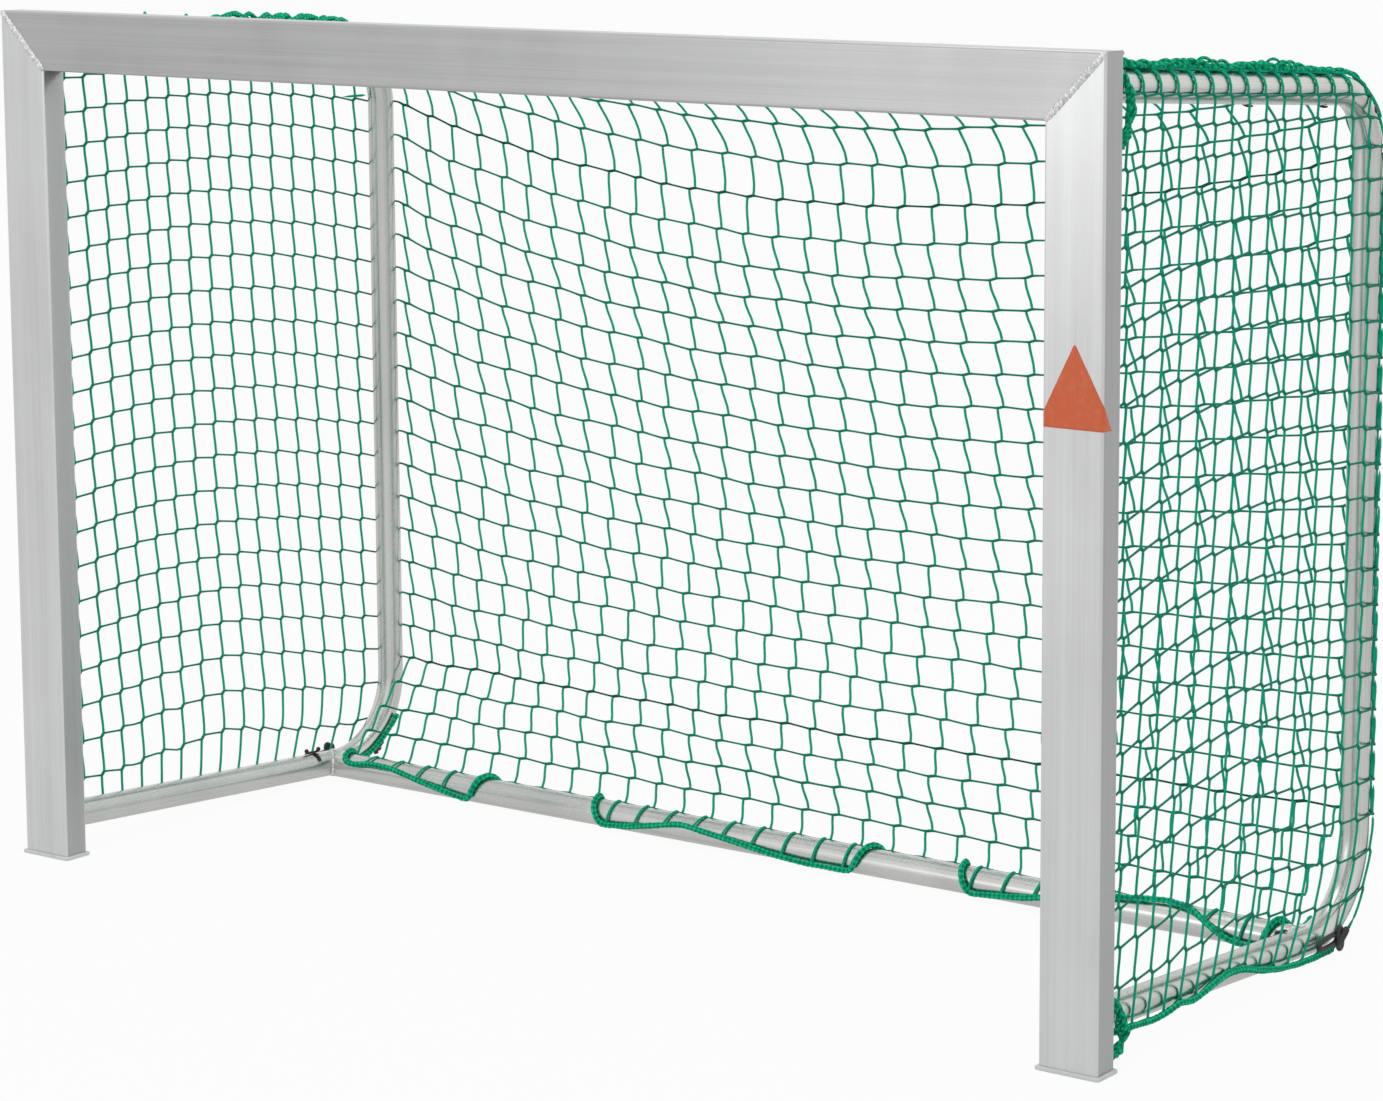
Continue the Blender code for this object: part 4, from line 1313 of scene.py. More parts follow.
    def build(self, shop: Workshop, mesh: KnotlessMesh) -> Array:
        """Builds the sheet's four parts.

        Returns:
            Where the cords of the skirt stand on X.
        """
        half = SIZES.side_x + SIZES.net_room
        columns = np.linspace(-half, half, self.columns + 1)
        names = ("net_top", "net_fold", "net_back", "net_skirt")
        for name, count, start, end in zip(names, self.rows, self.ends[:-1], self.ends[1:]):
            lines = columns[1:-1] if name == "net_skirt" else columns
            surfaces = mesh.weave(self.at, lines, np.linspace(start, end, count + 1), self.joint)
            shop.piece(f"{name}_cords", surfaces, NET_CORD, "net_cord", name)
        return columns[1:-1]


@dataclass
class SideNet:
    """A side panel outside its frame. Its upper edge goes over the upper arm and round the bend."""

    side: Side
    columns: int = 16
    bulge: float = 0.008
    arch: float = 0.036
    arch_lean: float = 0.87
    settle: float = 0.12
    hem_fade: float = 0.07
    gather_height: float = 0.16
    hem_reach: float = 0.83
    rear_fall: float = 0.013
    rear_room: float = 0.010
    wrap: float = math.radians(105)
    joint: tuple[float, float] = (0.0046, 0.0042)

    @property
    def front(self) -> float:
        """Setback of the first cord."""
        return SIZES.rope_y + SIZES.rope_radius

    @property
    def back(self) -> float:
        """Setback of the last cord, on the upright's outer side."""
        return SIZES.upright_setback + self.rear_room

    @property
    def flatness(self) -> float:
        """Share of the rows' arch that is gone at the top."""
        return 0.55 if self.side is Side.LEFT else 1.1

    @property
    def widening(self) -> float:
        """How much wider than the mean the rearmost cells are, and how much narrower the first."""
        return 0.08 if self.side is Side.LEFT else 0.11

    @property
    def rows(self) -> tuple[int, float]:
        """How many rows of cells there are, and their height."""
        return (23, 0.0495) if self.side is Side.LEFT else (25, 0.0455)

    def hem(self, share: Array) -> Array:
        """Y and Z of the lower edge: the lower arm and the first part of its bend."""
        line = LOWER.at(np.asarray(share) * self.hem_reach, 0.0, self.front)
        turn = LACING.turn(LACING.arm, line[..., 0])
        line[..., 1] -= LACING.arm_room * np.cos(turn)
        return line

    def at(self, a: Array, b: Array) -> Array:
        """Points of the panel.

        A column stands upright, but gathers towards the hem as the square of the distance left
        over the gather height. Low rows follow the hem, which fades out as exp(-b / settle), and
        high rows fall with the arm as the 16th power of the height. All rise in an arch, a half
        sine that is widest in front, and fall as the square of the setback. What goes past the
        upper tube's axis turns over it on a circle, and the rear edge keeps to a circle round each
        bend.

        Args:
            a: distance back from the first cord.
            b: distance up from the hem.

        Returns:
            Points in the last axis.
        """
        a, b = np.broadcast_arrays(np.asarray(a, float), np.asarray(b, float))
        depth = self.back - self.front
        u = np.clip(a / depth, 0.0, 1.0)
        v = np.clip(b / SIZES.opening_height, 0.0, 1.0)
        low, first = self.hem(u), self.hem(0.0)
        rise = np.maximum(b, 0.0)
        clear = 1.0 - np.exp(-rise / self.hem_fade)
        fall = SIZES.drop * depth * u * v**16 + self.rear_fall * u**2 * clear * (1.0 - v**4)
        z = first[1] + (low[..., 1] - first[1]) * np.exp(-rise / self.settle) + b - fall
        arch = self.arch * np.sin(math.pi * u**self.arch_lean) * clear
        z = z + arch * (1.0 - self.flatness * v**4)
        pinch = np.clip(1.0 - z / self.gather_height, 0.0, 1.0) ** 2
        y = (self.front + a) * (1.0 - pinch) + low[..., 0] * pinch
        hump = np.sin(math.pi * u) * np.sin(math.pi * v)
        y = y + 0.0008 * np.sin(23.0 * b + 5.0 * u) * hump
        centre_y, centre_z, radius = UPPER.centre()
        reach = radius + self.rear_room
        ahead = np.clip(y - centre_y, 0.0, radius)
        crown = centre_z + np.sqrt(radius**2 - ahead**2)
        arm = UPPER.height(y)
        limit = np.where(y < centre_y, arm, np.minimum(crown, arm))
        lean = np.clip((y - centre_y) / reach, 0.0, 1.0)
        over = np.clip((z - limit) / SIZES.net_room, 0.0, self.wrap * (1.0 - 0.5 * lean))
        outline = centre_y + np.sqrt(reach**2 - np.clip(z - centre_z, 0.0, reach) ** 2)
        low_y, low_z, low_radius = LOWER.centre()
        deep = np.clip(low_z - z, 0.0, low_radius)
        low_reach = low_radius + self.rear_room + 0.05 * deep
        y = np.minimum(y, low_y + np.sqrt(low_reach**2 - deep**2))
        z = np.minimum(z, limit) + SIZES.net_room * np.sin(over) * np.sqrt(1.0 - 0.6 * lean**2)
        y = np.minimum(y, outline) + SIZES.net_room * np.sin(over) * lean * 0.8
        x = SIZES.side_x + SIZES.net_room * np.cos(over) + self.bulge * hump
        return np.stack([self.side.value * x, y, z], axis=-1)

    def build(self, shop: Workshop, mesh: KnotlessMesh) -> None:
        """Builds the panel. The joints slant alike seen from inside, so the slant turns over."""
        share = np.linspace(0.0, 1.0, self.columns + 1)
        columns = (self.back - self.front) * (share + self.widening * share * (share - 1.0))
        count, pitch = self.rows
        rows = np.arange(count + 1) * pitch
        joint = (-self.side.value * self.joint[0], self.joint[1])
        surfaces = mesh.weave(self.at, columns, rows, joint)
        name = f"net_{self.side.label}"
        shop.piece(f"{name}_cords", surfaces, NET_CORD, "net_cord", name)


@dataclass
class Ropes:
    """The border ropes, the net's gathered edges on the arms and its ties round the ground tube.

    A strand of the gather has a number of turns along the arm, a swing across, a swing up and a
    radius. A loop place is a share of the arm and the loop's width.
    """

    sides: int = 14
    strand_sides: int = 8
    step: float = 0.0025
    braid_pitch: float = 0.015
    floor: float = 1.26 * SIZES.rope_radius
    corner_turn: float = 0.016
    mouth_foot: float = 0.024
    edge_aside: float = 0.003
    edge_lift: float = 0.0042
    loops: tuple[float, float] = (1.7, 0.25)
    loop_places: Controls = ((0.255, 0.012), (0.372, 0.022))
    pile_cords: int = 5
    pile_turns: float = 6.5
    pile_lift: float = 0.0038
    pile_rise: float = 0.0090
    pile_size: float = 0.0072
    pile_radius: float = 0.0034
    bundle_cords: int = 5
    bundle_radius: float = 0.0024
    bundle_floor: float = 0.0035
    bundle_spreads: tuple[float, float] = (0.0030, 0.0038)
    gather: tuple[tuple[float, float, float, float], ...] = (
        (27.0, 0.0050, 0.0042, 0.0021),
        (22.0, 0.0062, 0.0050, 0.0019),
        (34.0, 0.0045, 0.0034, 0.0022),
        (17.0, 0.0058, 0.0026, 0.0024),
    )
    top_bundle: Points = (
        (0.842, 0.066, 1.162), (0.858, 0.074, 1.150), (0.866, 0.079, 1.125),
        (0.866, 0.077, 1.100), (0.866, 0.066, 1.080), (0.8655, 0.058, 1.066),
    )
    foot_bundle: Points = (
        (0.865, 0.050, 0.085), (0.868, 0.060, 0.072), (0.871, 0.072, 0.052),
        (0.870, 0.077, 0.034), (0.868, 0.066, 0.017), (0.866, 0.052, 0.010),
    )

    def braid(self, radius: float) -> Callable[[Array, Array], Array]:
        """The rope's surface: strands that cross as the product of two opposite sine waves."""

        def relief(run: Array, share: Array) -> Array:
            """Height of the strands over the mean radius, on slow swellings of two uneven sines."""
            along = 2 * math.pi * run / self.braid_pitch
            about = 2 * math.pi * 2 * share
            swell = 0.09 * np.sin(run * 310.0) * np.sin(run * 173.0 + 1.0)
            return radius * (0.17 * np.sin(along + about) * np.sin(along - about) + swell)

        return relief

    def resample(self, path: Array, normals: Array, blur: int = 7) -> tuple[Array, Array]:
        """Even points along a path, rounded by a moving average.

        Args:
            path: points along the rope.
            normals: directions away from what it lies on.
            blur: how many points the average takes.

        Returns:
            Points and directions one step apart.
        """
        steps = np.linalg.norm(np.diff(path, axis=0), axis=1)
        run = np.concatenate([[0.0], np.cumsum(steps)])
        even = np.linspace(0.0, run[-1], int(run[-1] / self.step))
        both = np.column_stack([path, normals])
        fine = np.column_stack([np.interp(even, run, column) for column in both.T])
        padded = np.pad(fine, ((blur // 2, blur // 2), (0, 0)), mode="edge")
        kernel = np.ones(blur) / blur
        soft = np.column_stack([np.convolve(column, kernel, mode="valid") for column in padded.T])
        return soft[:, :3], unit(soft[:, 3:])

    def ground_path(self) -> tuple[Array, Array]:
        """The rope's way along the ground tube: axis + room (cos a up + sin a forward)."""
        share, turn = LACING.walk(LACING.ground, 900)
        out = np.column_stack([np.zeros_like(turn), -np.sin(turn), np.cos(turn)])
        axis = np.array([0.0, SIZES.ground_y, SIZES.tube_radius])
        axis = axis + share[:, None] * np.array([SIZES.side_x, 0.0, 0.0])
        return axis + SIZES.rope_room * out, out

    def bend_path(self, side: Side, controls: Controls, room: float) -> tuple[Array, Array]:
        """The rope's way on a lower bend.

        Args:
            side: which bend.
            controls: shares of the bend and angles, as in Lacing.
            room: distance from the tube's axis.

        Returns:
            Points, and directions away from the axis.
        """
        share, turn = LACING.walk(controls, 40 * len(controls))
        turn = turn[:, None]
        tilt = SIZES.arm_tilt
        angle = math.pi + tilt - (math.pi / 2 + tilt) * share
        outward = np.column_stack([np.zeros_like(angle), np.sin(angle), np.cos(angle)])
        middle = np.array([side.value * SIZES.side_x, SIZES.bottom_bend_y, SIZES.bottom_bend_z])
        out = np.cos(turn) * outward + np.sin(turn) * np.array([side.value, 0.0, 0.0])
        return middle + SIZES.bottom_bend_radius * outward + room * out, out

    def arm_path(self, side: Side) -> tuple[Array, Array]:
        """The rope's way along a lower arm and onto its bend."""
        y = np.linspace(LACING.arm[0][0], LACING.arm[-1][0], 260)
        turn = LACING.turn(LACING.arm, y)[:, None]
        tilt = SIZES.arm_tilt
        outward = np.array([0.0, -math.sin(tilt), -math.cos(tilt)])
        out = np.cos(turn) * outward + np.sin(turn) * np.array([side.value, 0.0, 0.0])
        centre = np.column_stack([np.full(len(y), side.value * SIZES.side_x), y, LOWER.height(y)])
        end, end_out = self.bend_path(side, LACING.arm_end, LACING.arm_room)
        path = np.concatenate([centre + LACING.arm_room * out, end])
        return path, np.concatenate([out, end_out])

    def build(self, shop: Workshop, mesh: KnotlessMesh, columns: Array) -> None:
        """Builds the ropes, the ties, the gathered edges and the bundles.

        Args:
            shop: the workshop.
            mesh: how the net is made.
            columns: where the cords of the skirt stand on X.
        """
        self.build_mouth_rope(shop)
        left, left_out = self.bend_path(Side.LEFT, LACING.left_end, SIZES.rope_room)
        right, right_out = self.bend_path(Side.RIGHT, LACING.right_end, SIZES.rope_room)
        ground, ground_out = self.ground_path()
        path = np.concatenate([left, ground, right[::-1]])
        out = np.concatenate([left_out, ground_out, right_out[::-1]])
        self.build_laced(shop, "foot_rope", path, out)
        for side in Side:
            self.build_laced(shop, f"arm_rope_{side.label}", *self.arm_path(side))
            self.build_gathered_edge(shop, side)
            for place, points, spread in zip(
                ("top", "foot"), (self.top_bundle, self.foot_bundle), self.bundle_spreads
            ):
                bundle = self.bundle(side, points, spread)
                shop.piece(f"net_bundle_{place}_{side.label}", bundle, BORDER_ROPE, "border_rope")
        self.build_ties(shop, mesh, columns)

    def build_laced(self, shop: Workshop, name: str, path: Array, out: Array) -> None:
        """Builds a rope that is laced round a tube.

        Args:
            shop: the workshop.
            name: the frame node it stands for.
            path: its way.
            out: directions away from what it lies on.
        """
        path, out = self.resample(path, out, 9)
        path[:, 2] = np.maximum(path[:, 2], self.floor)
        self.lay(shop, name, path, out)

    def build_mouth_rope(self, shop: Workshop) -> None:
        """Up one post, along the crossbar and down the other, with quarter turns at the corners."""
        angle = np.linspace(0.0, math.pi / 2, 12)
        across = SIZES.rope_x - self.corner_turn * (1 - np.cos(angle))
        up = SIZES.rope_z - self.corner_turn * (1 - np.sin(angle))
        corner = np.column_stack([across, np.full(len(angle), SIZES.rope_y), up])
        right = np.concatenate([[[SIZES.rope_x, SIZES.rope_y, self.mouth_foot]], corner])
        path = np.concatenate([right * np.array([-1.0, 1.0, 1.0]), right[::-1]])
        path, out = self.resample(path, np.broadcast_to([0.0, 1.0, 0.0], path.shape), 5)
        place = np.arange(len(path))
        path[:, 1] += np.abs(0.0012 * np.sin(place * 0.11) * np.sin(place * 0.043))
        self.lay(shop, "mouth_rope", path, out)

    def lay(self, shop: Workshop, name: str, path: Array, out: Array) -> None:
        """Builds one braided rope for the frame node of that name, on an even path."""
        surfaces = SurfaceSet()
        relief = self.braid(SIZES.rope_radius)
        surfaces.add_cord(path, out, SIZES.rope_radius, self.sides, relief=relief)
        shop.piece(f"{name}_braid", surfaces, BORDER_ROPE, "border_rope", name)

    def build_ties(self, shop: Workshop, mesh: KnotlessMesh, columns: Array) -> None:
        """Net cords round the ground tube: arcs from the skirt's edge to the rope's angle."""
        start = -SIZES.skirt_angle
        end = LACING.turn(LACING.ground, columns / SIZES.side_x)
        part = np.linspace(0.0, 1.0, 14)[None]
        turn = start + (end[:, None] - start) * part
        reach = SIZES.net_room - 0.0004 + 0.0025 * part**3
        lean = 0.006 * np.sin(math.pi * part) * np.sign(end[:, None] - start)
        x = columns[:, None] + lean
        y = SIZES.ground_y - reach * np.sin(turn)
        z = SIZES.tube_radius + reach * np.cos(turn)
        out = np.stack([np.zeros_like(turn), -np.sin(turn), np.cos(turn)], axis=-1)
        paths = np.stack([x, y, np.maximum(z, mesh.cord_radius * 1.3)], axis=-1)
        surfaces = SurfaceSet()
        surfaces.add_cords(paths, out, mesh.cord_radius, mesh.sides)
        shop.piece("net_foot_ties", surfaces, NET_CORD, "net_cord")

    def add_strand(
        self,
        surfaces: SurfaceSet,
        side: Side,
        share: Array,
        aside: Array,
        lift: Array,
        radius: float,
    ) -> None:
        """Adds a cord over an upper arm.

        Args:
            surfaces: where it goes.
            side: which arm.
            share: places along the arm.
            aside: distance outwards.
            lift: distance over the tube's top.
            radius: the cord's radius.
        """
        line = UPPER.at(share, SIZES.tube_radius + lift, SIZES.rope_y)
        path = np.column_stack([side.value * (SIZES.side_x + self.edge_aside + aside), line])
        out = [side.value, 0.0, 0.001]
        surfaces.add_cord(path, out, radius, self.strand_sides, relief=self.braid(radius))

    def build_gathered_edge(self, shop: Workshop, side: Side) -> None:
        """The net's bunched edge along an arm: cords that wind about a line on top of the tube.

        Each is the line + (across sin a, up cos a), with its own count of turns, so they cross and
        leave small loops. The loops swell and shrink along the arm as a sum of two sines. They
        also stand higher at two places of the left arm and over the middle of the right one.
        """
        share = np.linspace(0.004, 0.955, 900)
        fade = smooth_step(0.0, 0.05, share) * (0.25 + 0.75 * smooth_step(0.86, 0.60, share))
        peaks = sum(np.exp(-(((share - place) / width) ** 2)) for place, width in self.loop_places)
        middle = smooth_step(0.06, 0.30, share) * smooth_step(0.92, 0.72, share)
        growth = 1.0 + (self.loops[0] * peaks if side is Side.LEFT else self.loops[1] * middle)
        surfaces = SurfaceSet()
        for number, (turns, wide, tall, radius) in enumerate(self.gather):
            phase = 2 * math.pi * (turns * share + number / 3.0)
            phase = phase + 1.1 * np.sin(19.0 * share + 2.0 * number)
            size = 0.62 + 0.30 * np.sin(23.0 * share + number)
            size = size + 0.20 * np.sin(51.0 * share + 3.0 * number)
            aside = wide * np.sin(phase) * (0.35 + 0.65 * fade)
            lift = self.edge_lift + tall * (1.0 + np.cos(phase)) * size * fade * growth
            self.add_strand(surfaces, side, share, aside, lift, radius)
        if side is Side.LEFT:
            self.add_pile(surfaces, share)
        shop.piece(f"net_gather_{side.label}", surfaces, BORDER_ROPE, "border_rope")

    def add_pile(self, surfaces: SurfaceSet, share: Array) -> None:
        """Adds the thick pile on the left arm's rear half: cords that wind slowly together.

        Each is lifted by rise + size (1 + cos a) and stands 0.8 size sin a aside, and both fade at
        the ends.

        Args:
            surfaces: where the cords go.
            share: places along the arm.
        """
        heave = smooth_step(0.34, 0.50, share) * smooth_step(0.93, 0.80, share)
        for number in range(self.pile_cords):
            phase = 2 * math.pi * (self.pile_turns * share + number / self.pile_cords)
            phase = phase + 0.9 * np.sin(17.0 * share + 1.9 * number)
            size = self.pile_size * heave * (0.86 + 0.14 * np.sin(33.0 * share + 1.3 * number))
            lift = self.pile_lift + self.pile_rise * heave + size * (1.0 + np.cos(phase))
            aside = 0.8 * size * np.sin(phase)
            self.add_strand(surfaces, Side.LEFT, share, aside, lift, self.pile_radius)

    def bundle(self, side: Side, points: Points, spread: float) -> SurfaceSet:
        """A corner of the net, bunched and tied to the mouth's rope.

        Its cords wind about a path: path + spread (cos a outwards + sin a sideways).

        Args:
            side: which side it is on.
            points: its way on the right side.
            spread: how far the cords swing out in the middle.

        Returns:
            The bundle's surface.
        """
        way = np.array(points) * np.array([side.value, 1.0, 1.0])
        path, out = self.resample(way, np.broadcast_to([1.0, 0.0, 0.0], way.shape), 9)
        sideways = unit(np.cross(np.gradient(path, axis=0), out))
        share = np.linspace(0.0, 1.0, len(path))
        fade = smooth_step(0.0, 0.15, share) * smooth_step(1.0, 0.80, share)
        relief = self.braid(self.bundle_radius)
        surfaces = SurfaceSet()
        for number in range(self.bundle_cords):
            angle = 2 * math.pi * ((1.6 + 0.45 * number) * share + number / self.bundle_cords)
            swing = spread * (0.30 + fade * (0.7 + 0.4 * np.sin(14.0 * share + 2.0 * number)))
            aside = np.cos(angle)[:, None] * out + np.sin(angle)[:, None] * sideways
            line = path + swing[:, None] * aside
            line[:, 2] = np.maximum(line[:, 2], self.bundle_floor)
            surfaces.add_cord(line, aside, self.bundle_radius, self.strand_sides, relief=relief)
        return surfaces


@dataclass(frozen=True)
class NetClip:
    """A thin band part of the way round a tube, with two knobs that hold the net's cord."""

    centre: Array
    along: Array
    out: Array
    reach: float = math.radians(62)
    band_radius: float = 0.0017
    knob_radius: float = 0.0034
    knob_height: float = 0.0078
    spacing: float = 0.0110

    def build(self, shop: Workshop, node: str) -> None:
        """Builds the clip: an arc round the tube, and knobs whose radius follows half a circle."""
        surfaces = SurfaceSet()
        aside = np.cross(self.along, self.out)
        turn = np.linspace(-self.reach, self.reach, 24)[:, None]
        spoke = np.cos(turn) * self.out + np.sin(turn) * aside
        thin = self.band_radius * np.sqrt(np.linspace(-1.0, 1.0, 24) ** 8 * -0.8 + 1.0)
        path = self.centre + (SIZES.tube_radius + self.band_radius + 0.0002) * spoke
        surfaces.add_cord(path, spoke, thin, 10)
        foot = self.centre + (SIZES.tube_radius + self.band_radius) * self.out
        share = np.linspace(-1.0, 1.0, 12)
        girth = np.sqrt(np.clip(1.0 - 0.98 * share**2, 0.0, 1.0))
        bridge = foot + 0.0008 * self.out + (share * self.spacing)[:, None] * self.along
        surfaces.add_cord(bridge, self.out, self.band_radius, 8)
        for sign in (-1.0, 1.0):
            axis = unit(self.out + 0.5 * sign * self.along)
            rise = (share[:, None] * 0.5 + 0.5) * self.knob_height
            stem = foot + sign * self.spacing * self.along + rise * axis
            surfaces.add_cord(stem, aside, self.knob_radius * girth, 10)
        shop.piece(f"{node}_band", surfaces, HOOK_PLASTIC, "hook_plastic", node, sharp=60)


@dataclass
class Clips:
    """The clips on the upper and lower arms, and the links where the side panels end.

    A link has a place back and up from the middle, half a length, half a width and a lean.
    """

    upper_ahead: tuple[float, float] = (0.220, 0.030)
    upper_turn: float = math.radians(50)
    lower_ahead: float = 0.060
    lower_turns: tuple[float, float] = (0.0, math.radians(60))
    link_radius: float = 0.0034
    links: tuple[tuple[float, float, float, float, float], ...] = (
        (-0.021, 0.000, 0.024, 0.0062, 0.10),
        (0.002, 0.000, 0.0165, 0.0058, 1.92),
        (0.003, 0.002, 0.0120, 0.0035, 0.75),
    )
    link_middle: Triple = (0.8655, 0.611, 0.0215)

    def build(self, shop: Workshop) -> None:
        """Builds every clip and link of both sides."""
        tilt = SIZES.arm_tilt
        along = np.array([0.0, math.cos(tilt), -math.sin(tilt)])
        up = np.array([0.0, math.sin(tilt), math.cos(tilt)])
        for side, lower_turn in zip(Side, self.lower_turns):
            x = side.value * SIZES.side_x
            inward = np.array([-float(side.value), 0.0, 0.0])
            out = inward * math.sin(self.upper_turn) - up * math.cos(self.upper_turn)
            for number, ahead in enumerate(self.upper_ahead, 1):
                y = SIZES.top_bend_y - ahead
                centre = np.array([x, y, UPPER.height(y)])
                clip = NetClip(
                    centre, along, out, knob_radius=0.0026, knob_height=0.0060, spacing=0.0045
                )
                clip.build(shop, f"top_clip_{side.label}_{number}")
            y = SIZES.bottom_bend_y - self.lower_ahead
            centre = np.array([x, y, LOWER.height(y)])
            out = inward * math.sin(lower_turn) + up * math.cos(lower_turn)
            NetClip(centre, along, out).build(shop, f"arm_clip_{side.label}")
            self.build_link(shop, side)

    def build_link(self, shop: Workshop, side: Side) -> None:
        """Crossing links: each is a loop, half length times cos a and half width times sin a."""
        surfaces = SurfaceSet()
        angle = np.linspace(0.0, 2 * math.pi, 40, endpoint=False)
        middle = np.array(self.link_middle) * np.array([side.value, 1.0, 1.0])
        for number, (back, rise, long, wide, lean) in enumerate(self.links):
            squared = np.sign(np.cos(angle)) * np.abs(np.cos(angle)) ** 0.7
            run, off = long * squared, wide * np.sin(angle)
            y = back + run * math.cos(lean) - off * math.sin(lean)
            z = rise + run * math.sin(lean) + off * math.cos(lean)
            x = side.value * (0.0030 * number + 0.0020 * np.cos(angle))
            path = middle + np.column_stack([x, y, z])
            path[:, 2] = np.maximum(path[:, 2], self.link_radius)
            out = [float(side.value), 0.0, 0.0]
            surfaces.add_cord(path, out, self.link_radius, 10, closed=True)
        shop.piece(f"corner_link_{side.label}", surfaces, HOOK_PLASTIC, "hook_plastic")


@dataclass
class SmallParts:
    """The blank orange patch on the right post and the plug in the right upper bend."""

    patch_base: float = 0.7543
    patch_apex: float = 0.8500
    patch_left: float = -0.0070
    patch_right: float = 0.0960
    patch_middle: float = 0.0420
    plug_radius: float = 0.0050
    plug_angle: float = math.radians(52)
    plug_turn: float = math.radians(25)
    patch_margin: float = 0.0012
    film_thickness: float = 0.00025

    def round_post(self, distance: Array, lift: float) -> Array:
        """Points on the right post's skin: along the inner side, the front and the outer side.

        Args:
            distance: developed distance from the post's inner front edge.
            lift: height over the skin.

        Returns:
            X and Y in the last axis.
        """
        inner = SIZES.half_width - SIZES.profile_width
        corner, width = SIZES.profile_corner, SIZES.profile_width
        arc = corner * math.pi / 2
        out = corner + lift
        left_turn = np.clip((corner - distance) / arc, 0.0, 1.0) * math.pi / 2
        right_turn = np.clip((distance - (width - corner)) / arc, 0.0, 1.0) * math.pi / 2
        flat = np.clip(distance, corner, width - corner)
        x = inner + flat - out * np.sin(left_turn) + out * np.sin(right_turn)
        past = np.clip(distance - (width - corner + arc), 0.0, None)
        past = past + np.clip(corner - arc - distance, 0.0, None)
        y = corner - out * np.cos(np.maximum(left_turn, right_turn)) + past
        return np.stack([x, y], axis=-1)

    def build_plug(self, shop: Workshop) -> None:
        """A domed plug on the upper bend: its rim shrinks as a quarter ellipse rises.

        It stands on the tube at an angle round the bend, turned from the goal's outside towards
        the bend's outside.
        """
        angle = self.plug_angle
        away = np.array([0.0, math.sin(angle), math.cos(angle)])
        outward = math.sin(self.plug_turn) * away + np.array([math.cos(self.plug_turn), 0.0, 0.0])
        centre = np.array([SIZES.side_x, SIZES.top_bend_y, SIZES.top_bend_z])
        centre = centre + SIZES.top_bend_radius * away + SIZES.tube_radius * outward
        along = np.array([0.0, math.cos(angle), -math.sin(angle)])
        across = np.cross(outward, along)
        rise = np.linspace(0.0, math.pi / 2, 10)[:-1]
        rim = self.plug_radius * np.concatenate([[1.0], np.cos(rise)])
        lift = np.concatenate([[-0.0012], 0.0016 * np.sin(rise) + 0.0002])
        turn = np.linspace(0.0, 2 * math.pi, 28, endpoint=False)
        ring = np.cos(turn)[:, None] * along + np.sin(turn)[:, None] * across
        surfaces = SurfaceSet()
        surfaces.add_rings(centre + rim[:, None, None] * ring + lift[:, None, None] * outward, lift)
        shop.piece("bend_plug", surfaces, PLUG_PLASTIC, "hook_plastic", sharp=60)

    def build_patch(self, shop: Workshop) -> None:
        """The blank patch: a triangle with a narrow tip, laid round the post."""
        rows = np.linspace(0.0, 1.0, 30)[:, None]
        columns = np.linspace(0.0, 1.0, 60)[None, :]
        middle, margin = self.patch_middle, self.patch_margin
        left = middle + (self.patch_left - middle) * (1.0 - rows) - margin
        right = middle + (self.patch_right - middle) * (1.0 - rows) + margin
        distance = left + (right - left) * columns
        z = (self.patch_base + (self.patch_apex - self.patch_base) * rows) * np.ones_like(columns)
        grid = np.concatenate([self.round_post(distance, 0.0003), z[..., None]], axis=-1)
        surfaces = SurfaceSet()
        surfaces.add_grids(grid[None], rows.T, columns[0], False, False)
        patch = shop.piece("post_patch", surfaces, FILM, "hook_plastic", sharp=60)
        patch.modifiers.new("film thickness", "SOLIDIFY").thickness = self.film_thickness

    def build(self, shop: Workshop) -> None:
        """Builds both small parts."""
        self.build_plug(shop)
        self.build_patch(shop)


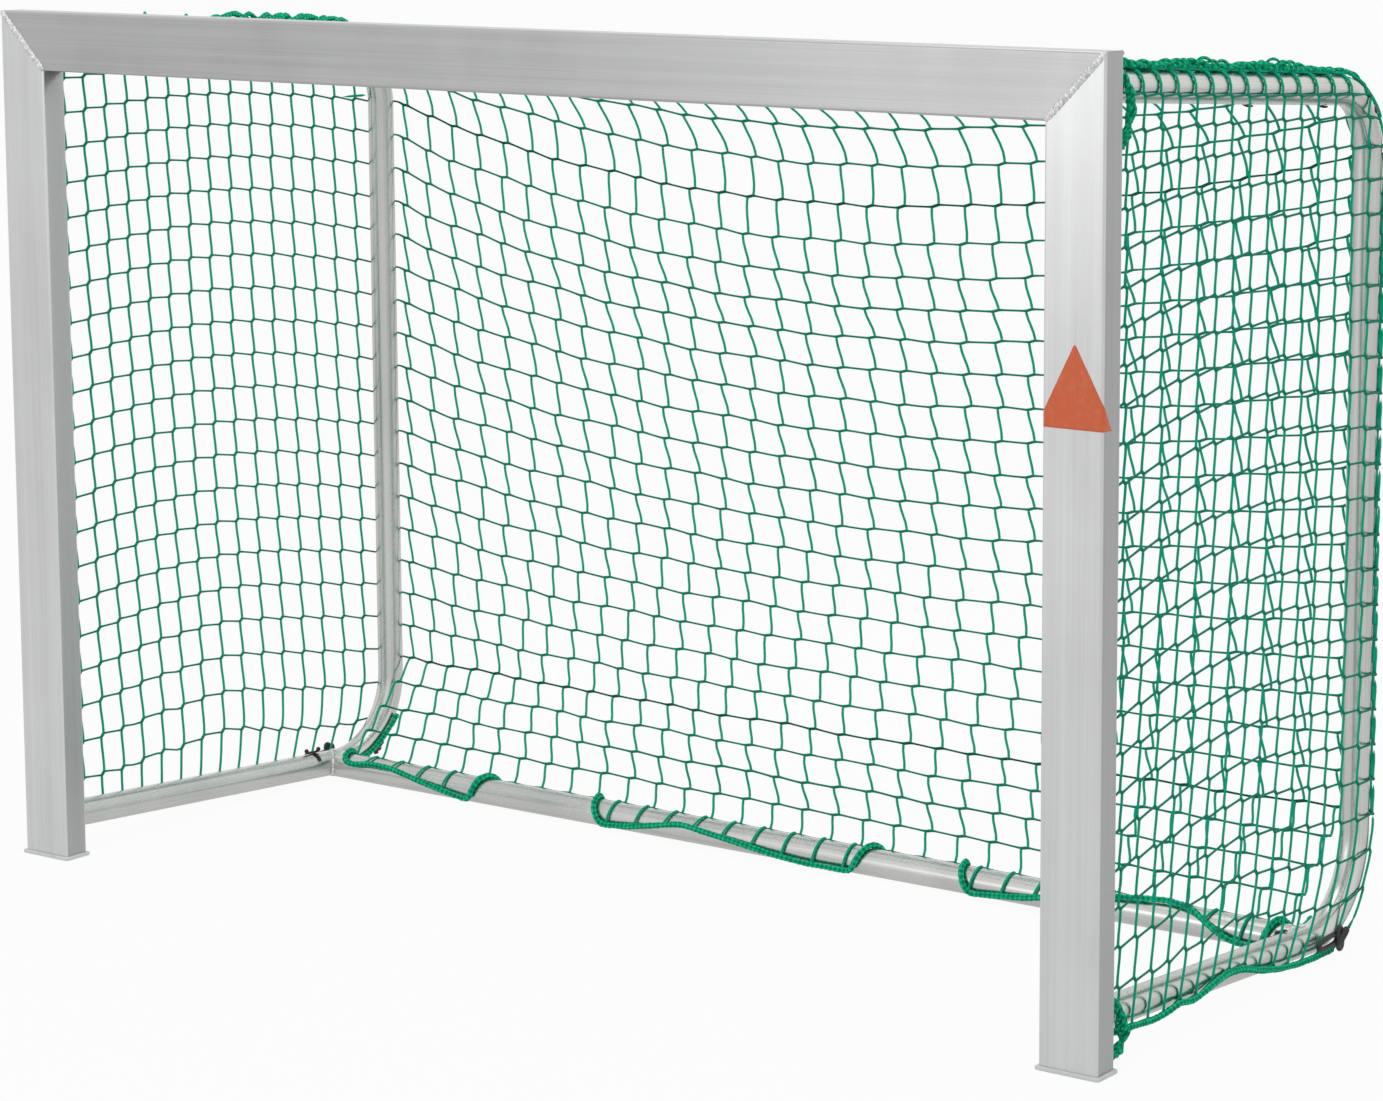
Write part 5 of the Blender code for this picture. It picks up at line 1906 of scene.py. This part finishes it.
@dataclass
class Studio:
    """Plain pale floor, soft lamps and the camera."""

    lens: float = 100.1816
    place: Triple = (3.0915, -4.01924, 1.4191)
    yaw: float = 0.6091
    pitch: float = 0.1423
    shift: tuple[float, float] = (-0.12, -0.12)
    floor_reach: float = 30.0
    floor_height: float = -0.0006
    floor_seen: float = 0.94
    floor_mirrored: float = 0.55
    world_light: float = 0.56

    def build(self) -> None:
        """Builds the camera, floor, world and lamps."""
        data = bpy.data.cameras.new("photo camera")
        data.sensor_width = 36.0
        data.lens = self.lens
        data.shift_x, data.shift_y = self.shift
        data.clip_end = 100.0
        camera = bpy.data.objects.new("photo_camera", data)
        camera.location = self.place
        camera.rotation_euler = (math.pi / 2 - self.pitch, 0.0, self.yaw)
        bpy.context.scene.collection.objects.link(camera)
        bpy.context.scene.camera = camera
        bpy.context.scene.view_settings.view_transform = "Standard"
        self.build_floor()
        self.build_world()
        self.add_lamp("front_lamp", (-1.5, -4.1, 1.4), (0.5, -0.3, 0.9), 1.2, 8.0)
        self.add_lamp("top_lamp", (0.3, 0.2, 3.6), (0.3, 0.2, 0.0), 2.6, 30.0)

    def add_lamp(
        self,
        name: str,
        place: Triple,
        aim: Triple,
        size: float,
        power: float,
    ) -> None:
        """Adds a square soft lamp.

        Args:
            name: the lamp's name.
            place: where it hangs.
            aim: where it points.
            size: its edge length.
            power: its power in watts.
        """
        data = bpy.data.lights.new(name, "AREA")
        data.size = size
        data.energy = power
        lamp = bpy.data.objects.new(name, data)
        lamp.location = place
        direction = Vector(aim) - Vector(place)
        lamp.rotation_euler = direction.to_track_quat("-Z", "Y").to_euler()
        bpy.context.scene.collection.objects.link(lamp)

    def build_floor(self) -> None:
        """A wide pale floor. The camera sees it lifted to white, with the goal's shadow left in."""
        surfaces = SurfaceSet()
        side = np.linspace(-self.floor_reach, self.floor_reach, 3)
        x, y = np.meshgrid(side, side)
        grid = np.stack([x, y, np.full_like(x, self.floor_height)], axis=-1)
        surfaces.add_grids(grid[None], side[None], side, False, False)
        floor = surfaces.write("pale_floor", 0.0)
        shader = Shader("pale floor")
        grain = shader.noise(3.0, 2.0)
        tone = shader.mix(grain, (0.80, 0.80, 0.80), (0.83, 0.83, 0.83))
        material = shader.finish(Base_Color=tone, Roughness=0.9)
        tree = shader.tree
        seen = shader.node("ShaderNodeLightPath", output="Is Camera Ray")
        mirrored = shader.node("ShaderNodeLightPath", output="Is Glossy Ray")
        white = shader.node("ShaderNodeEmission", Strength=1.0)
        blend = tree.nodes.new("ShaderNodeMixShader")
        shader.feed(blend.inputs[0], self.floor_seen * seen + self.floor_mirrored * mirrored)
        tree.links.new(shader.surface.outputs[0], blend.inputs[1])
        tree.links.new(white.socket, blend.inputs[2])
        tree.links.new(blend.outputs[0], tree.nodes["Material Output"].inputs["Surface"])
        floor.data.materials.append(material)

    def build_world(self) -> None:
        """White to the camera and in reflections, dimmer as light on the goal."""
        world = bpy.data.worlds.new("pale studio")
        bpy.context.scene.world = world
        world.use_nodes = True
        tree = world.node_tree
        background = tree.nodes["Background"]
        path = tree.nodes.new("ShaderNodeLightPath")
        seen = Value(tree, path.outputs["Is Camera Ray"])
        mirrored = Value(tree, path.outputs["Is Glossy Ray"])
        through = Value(tree, path.outputs["Is Transmission Ray"])
        shown = (seen + mirrored + through).clamp(0.0, 1.0)
        strength = self.world_light + (1.0 - self.world_light) * shown
        tree.links.new(strength.socket, background.inputs["Strength"])
        background.inputs["Color"].default_value = (1.0, 1.0, 1.0, 1.0)


def main() -> None:
    """Loads the frame, builds each part of the goal on it and lights it."""
    logging.basicConfig(level=logging.INFO, format="%(name)s: %(message)s")
    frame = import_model()
    shop = Workshop(shift=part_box("crossbar")[0].y)
    Studio().build()
    Mouth().build(shop)
    SideFrames().build(shop)
    mesh = KnotlessMesh()
    columns = NetSheet().build(shop, mesh)
    for side in Side:
        SideNet(side).build(shop, mesh)
    Ropes().build(shop, mesh, columns)
    Clips().build(shop)
    SmallParts().build(shop)
    for name, node in frame["nodes"].items():
        if "hook" in name or "clip" in name:
            shop.dress(node, HOOK_PLASTIC)


if __name__ == "__main__":
    main()
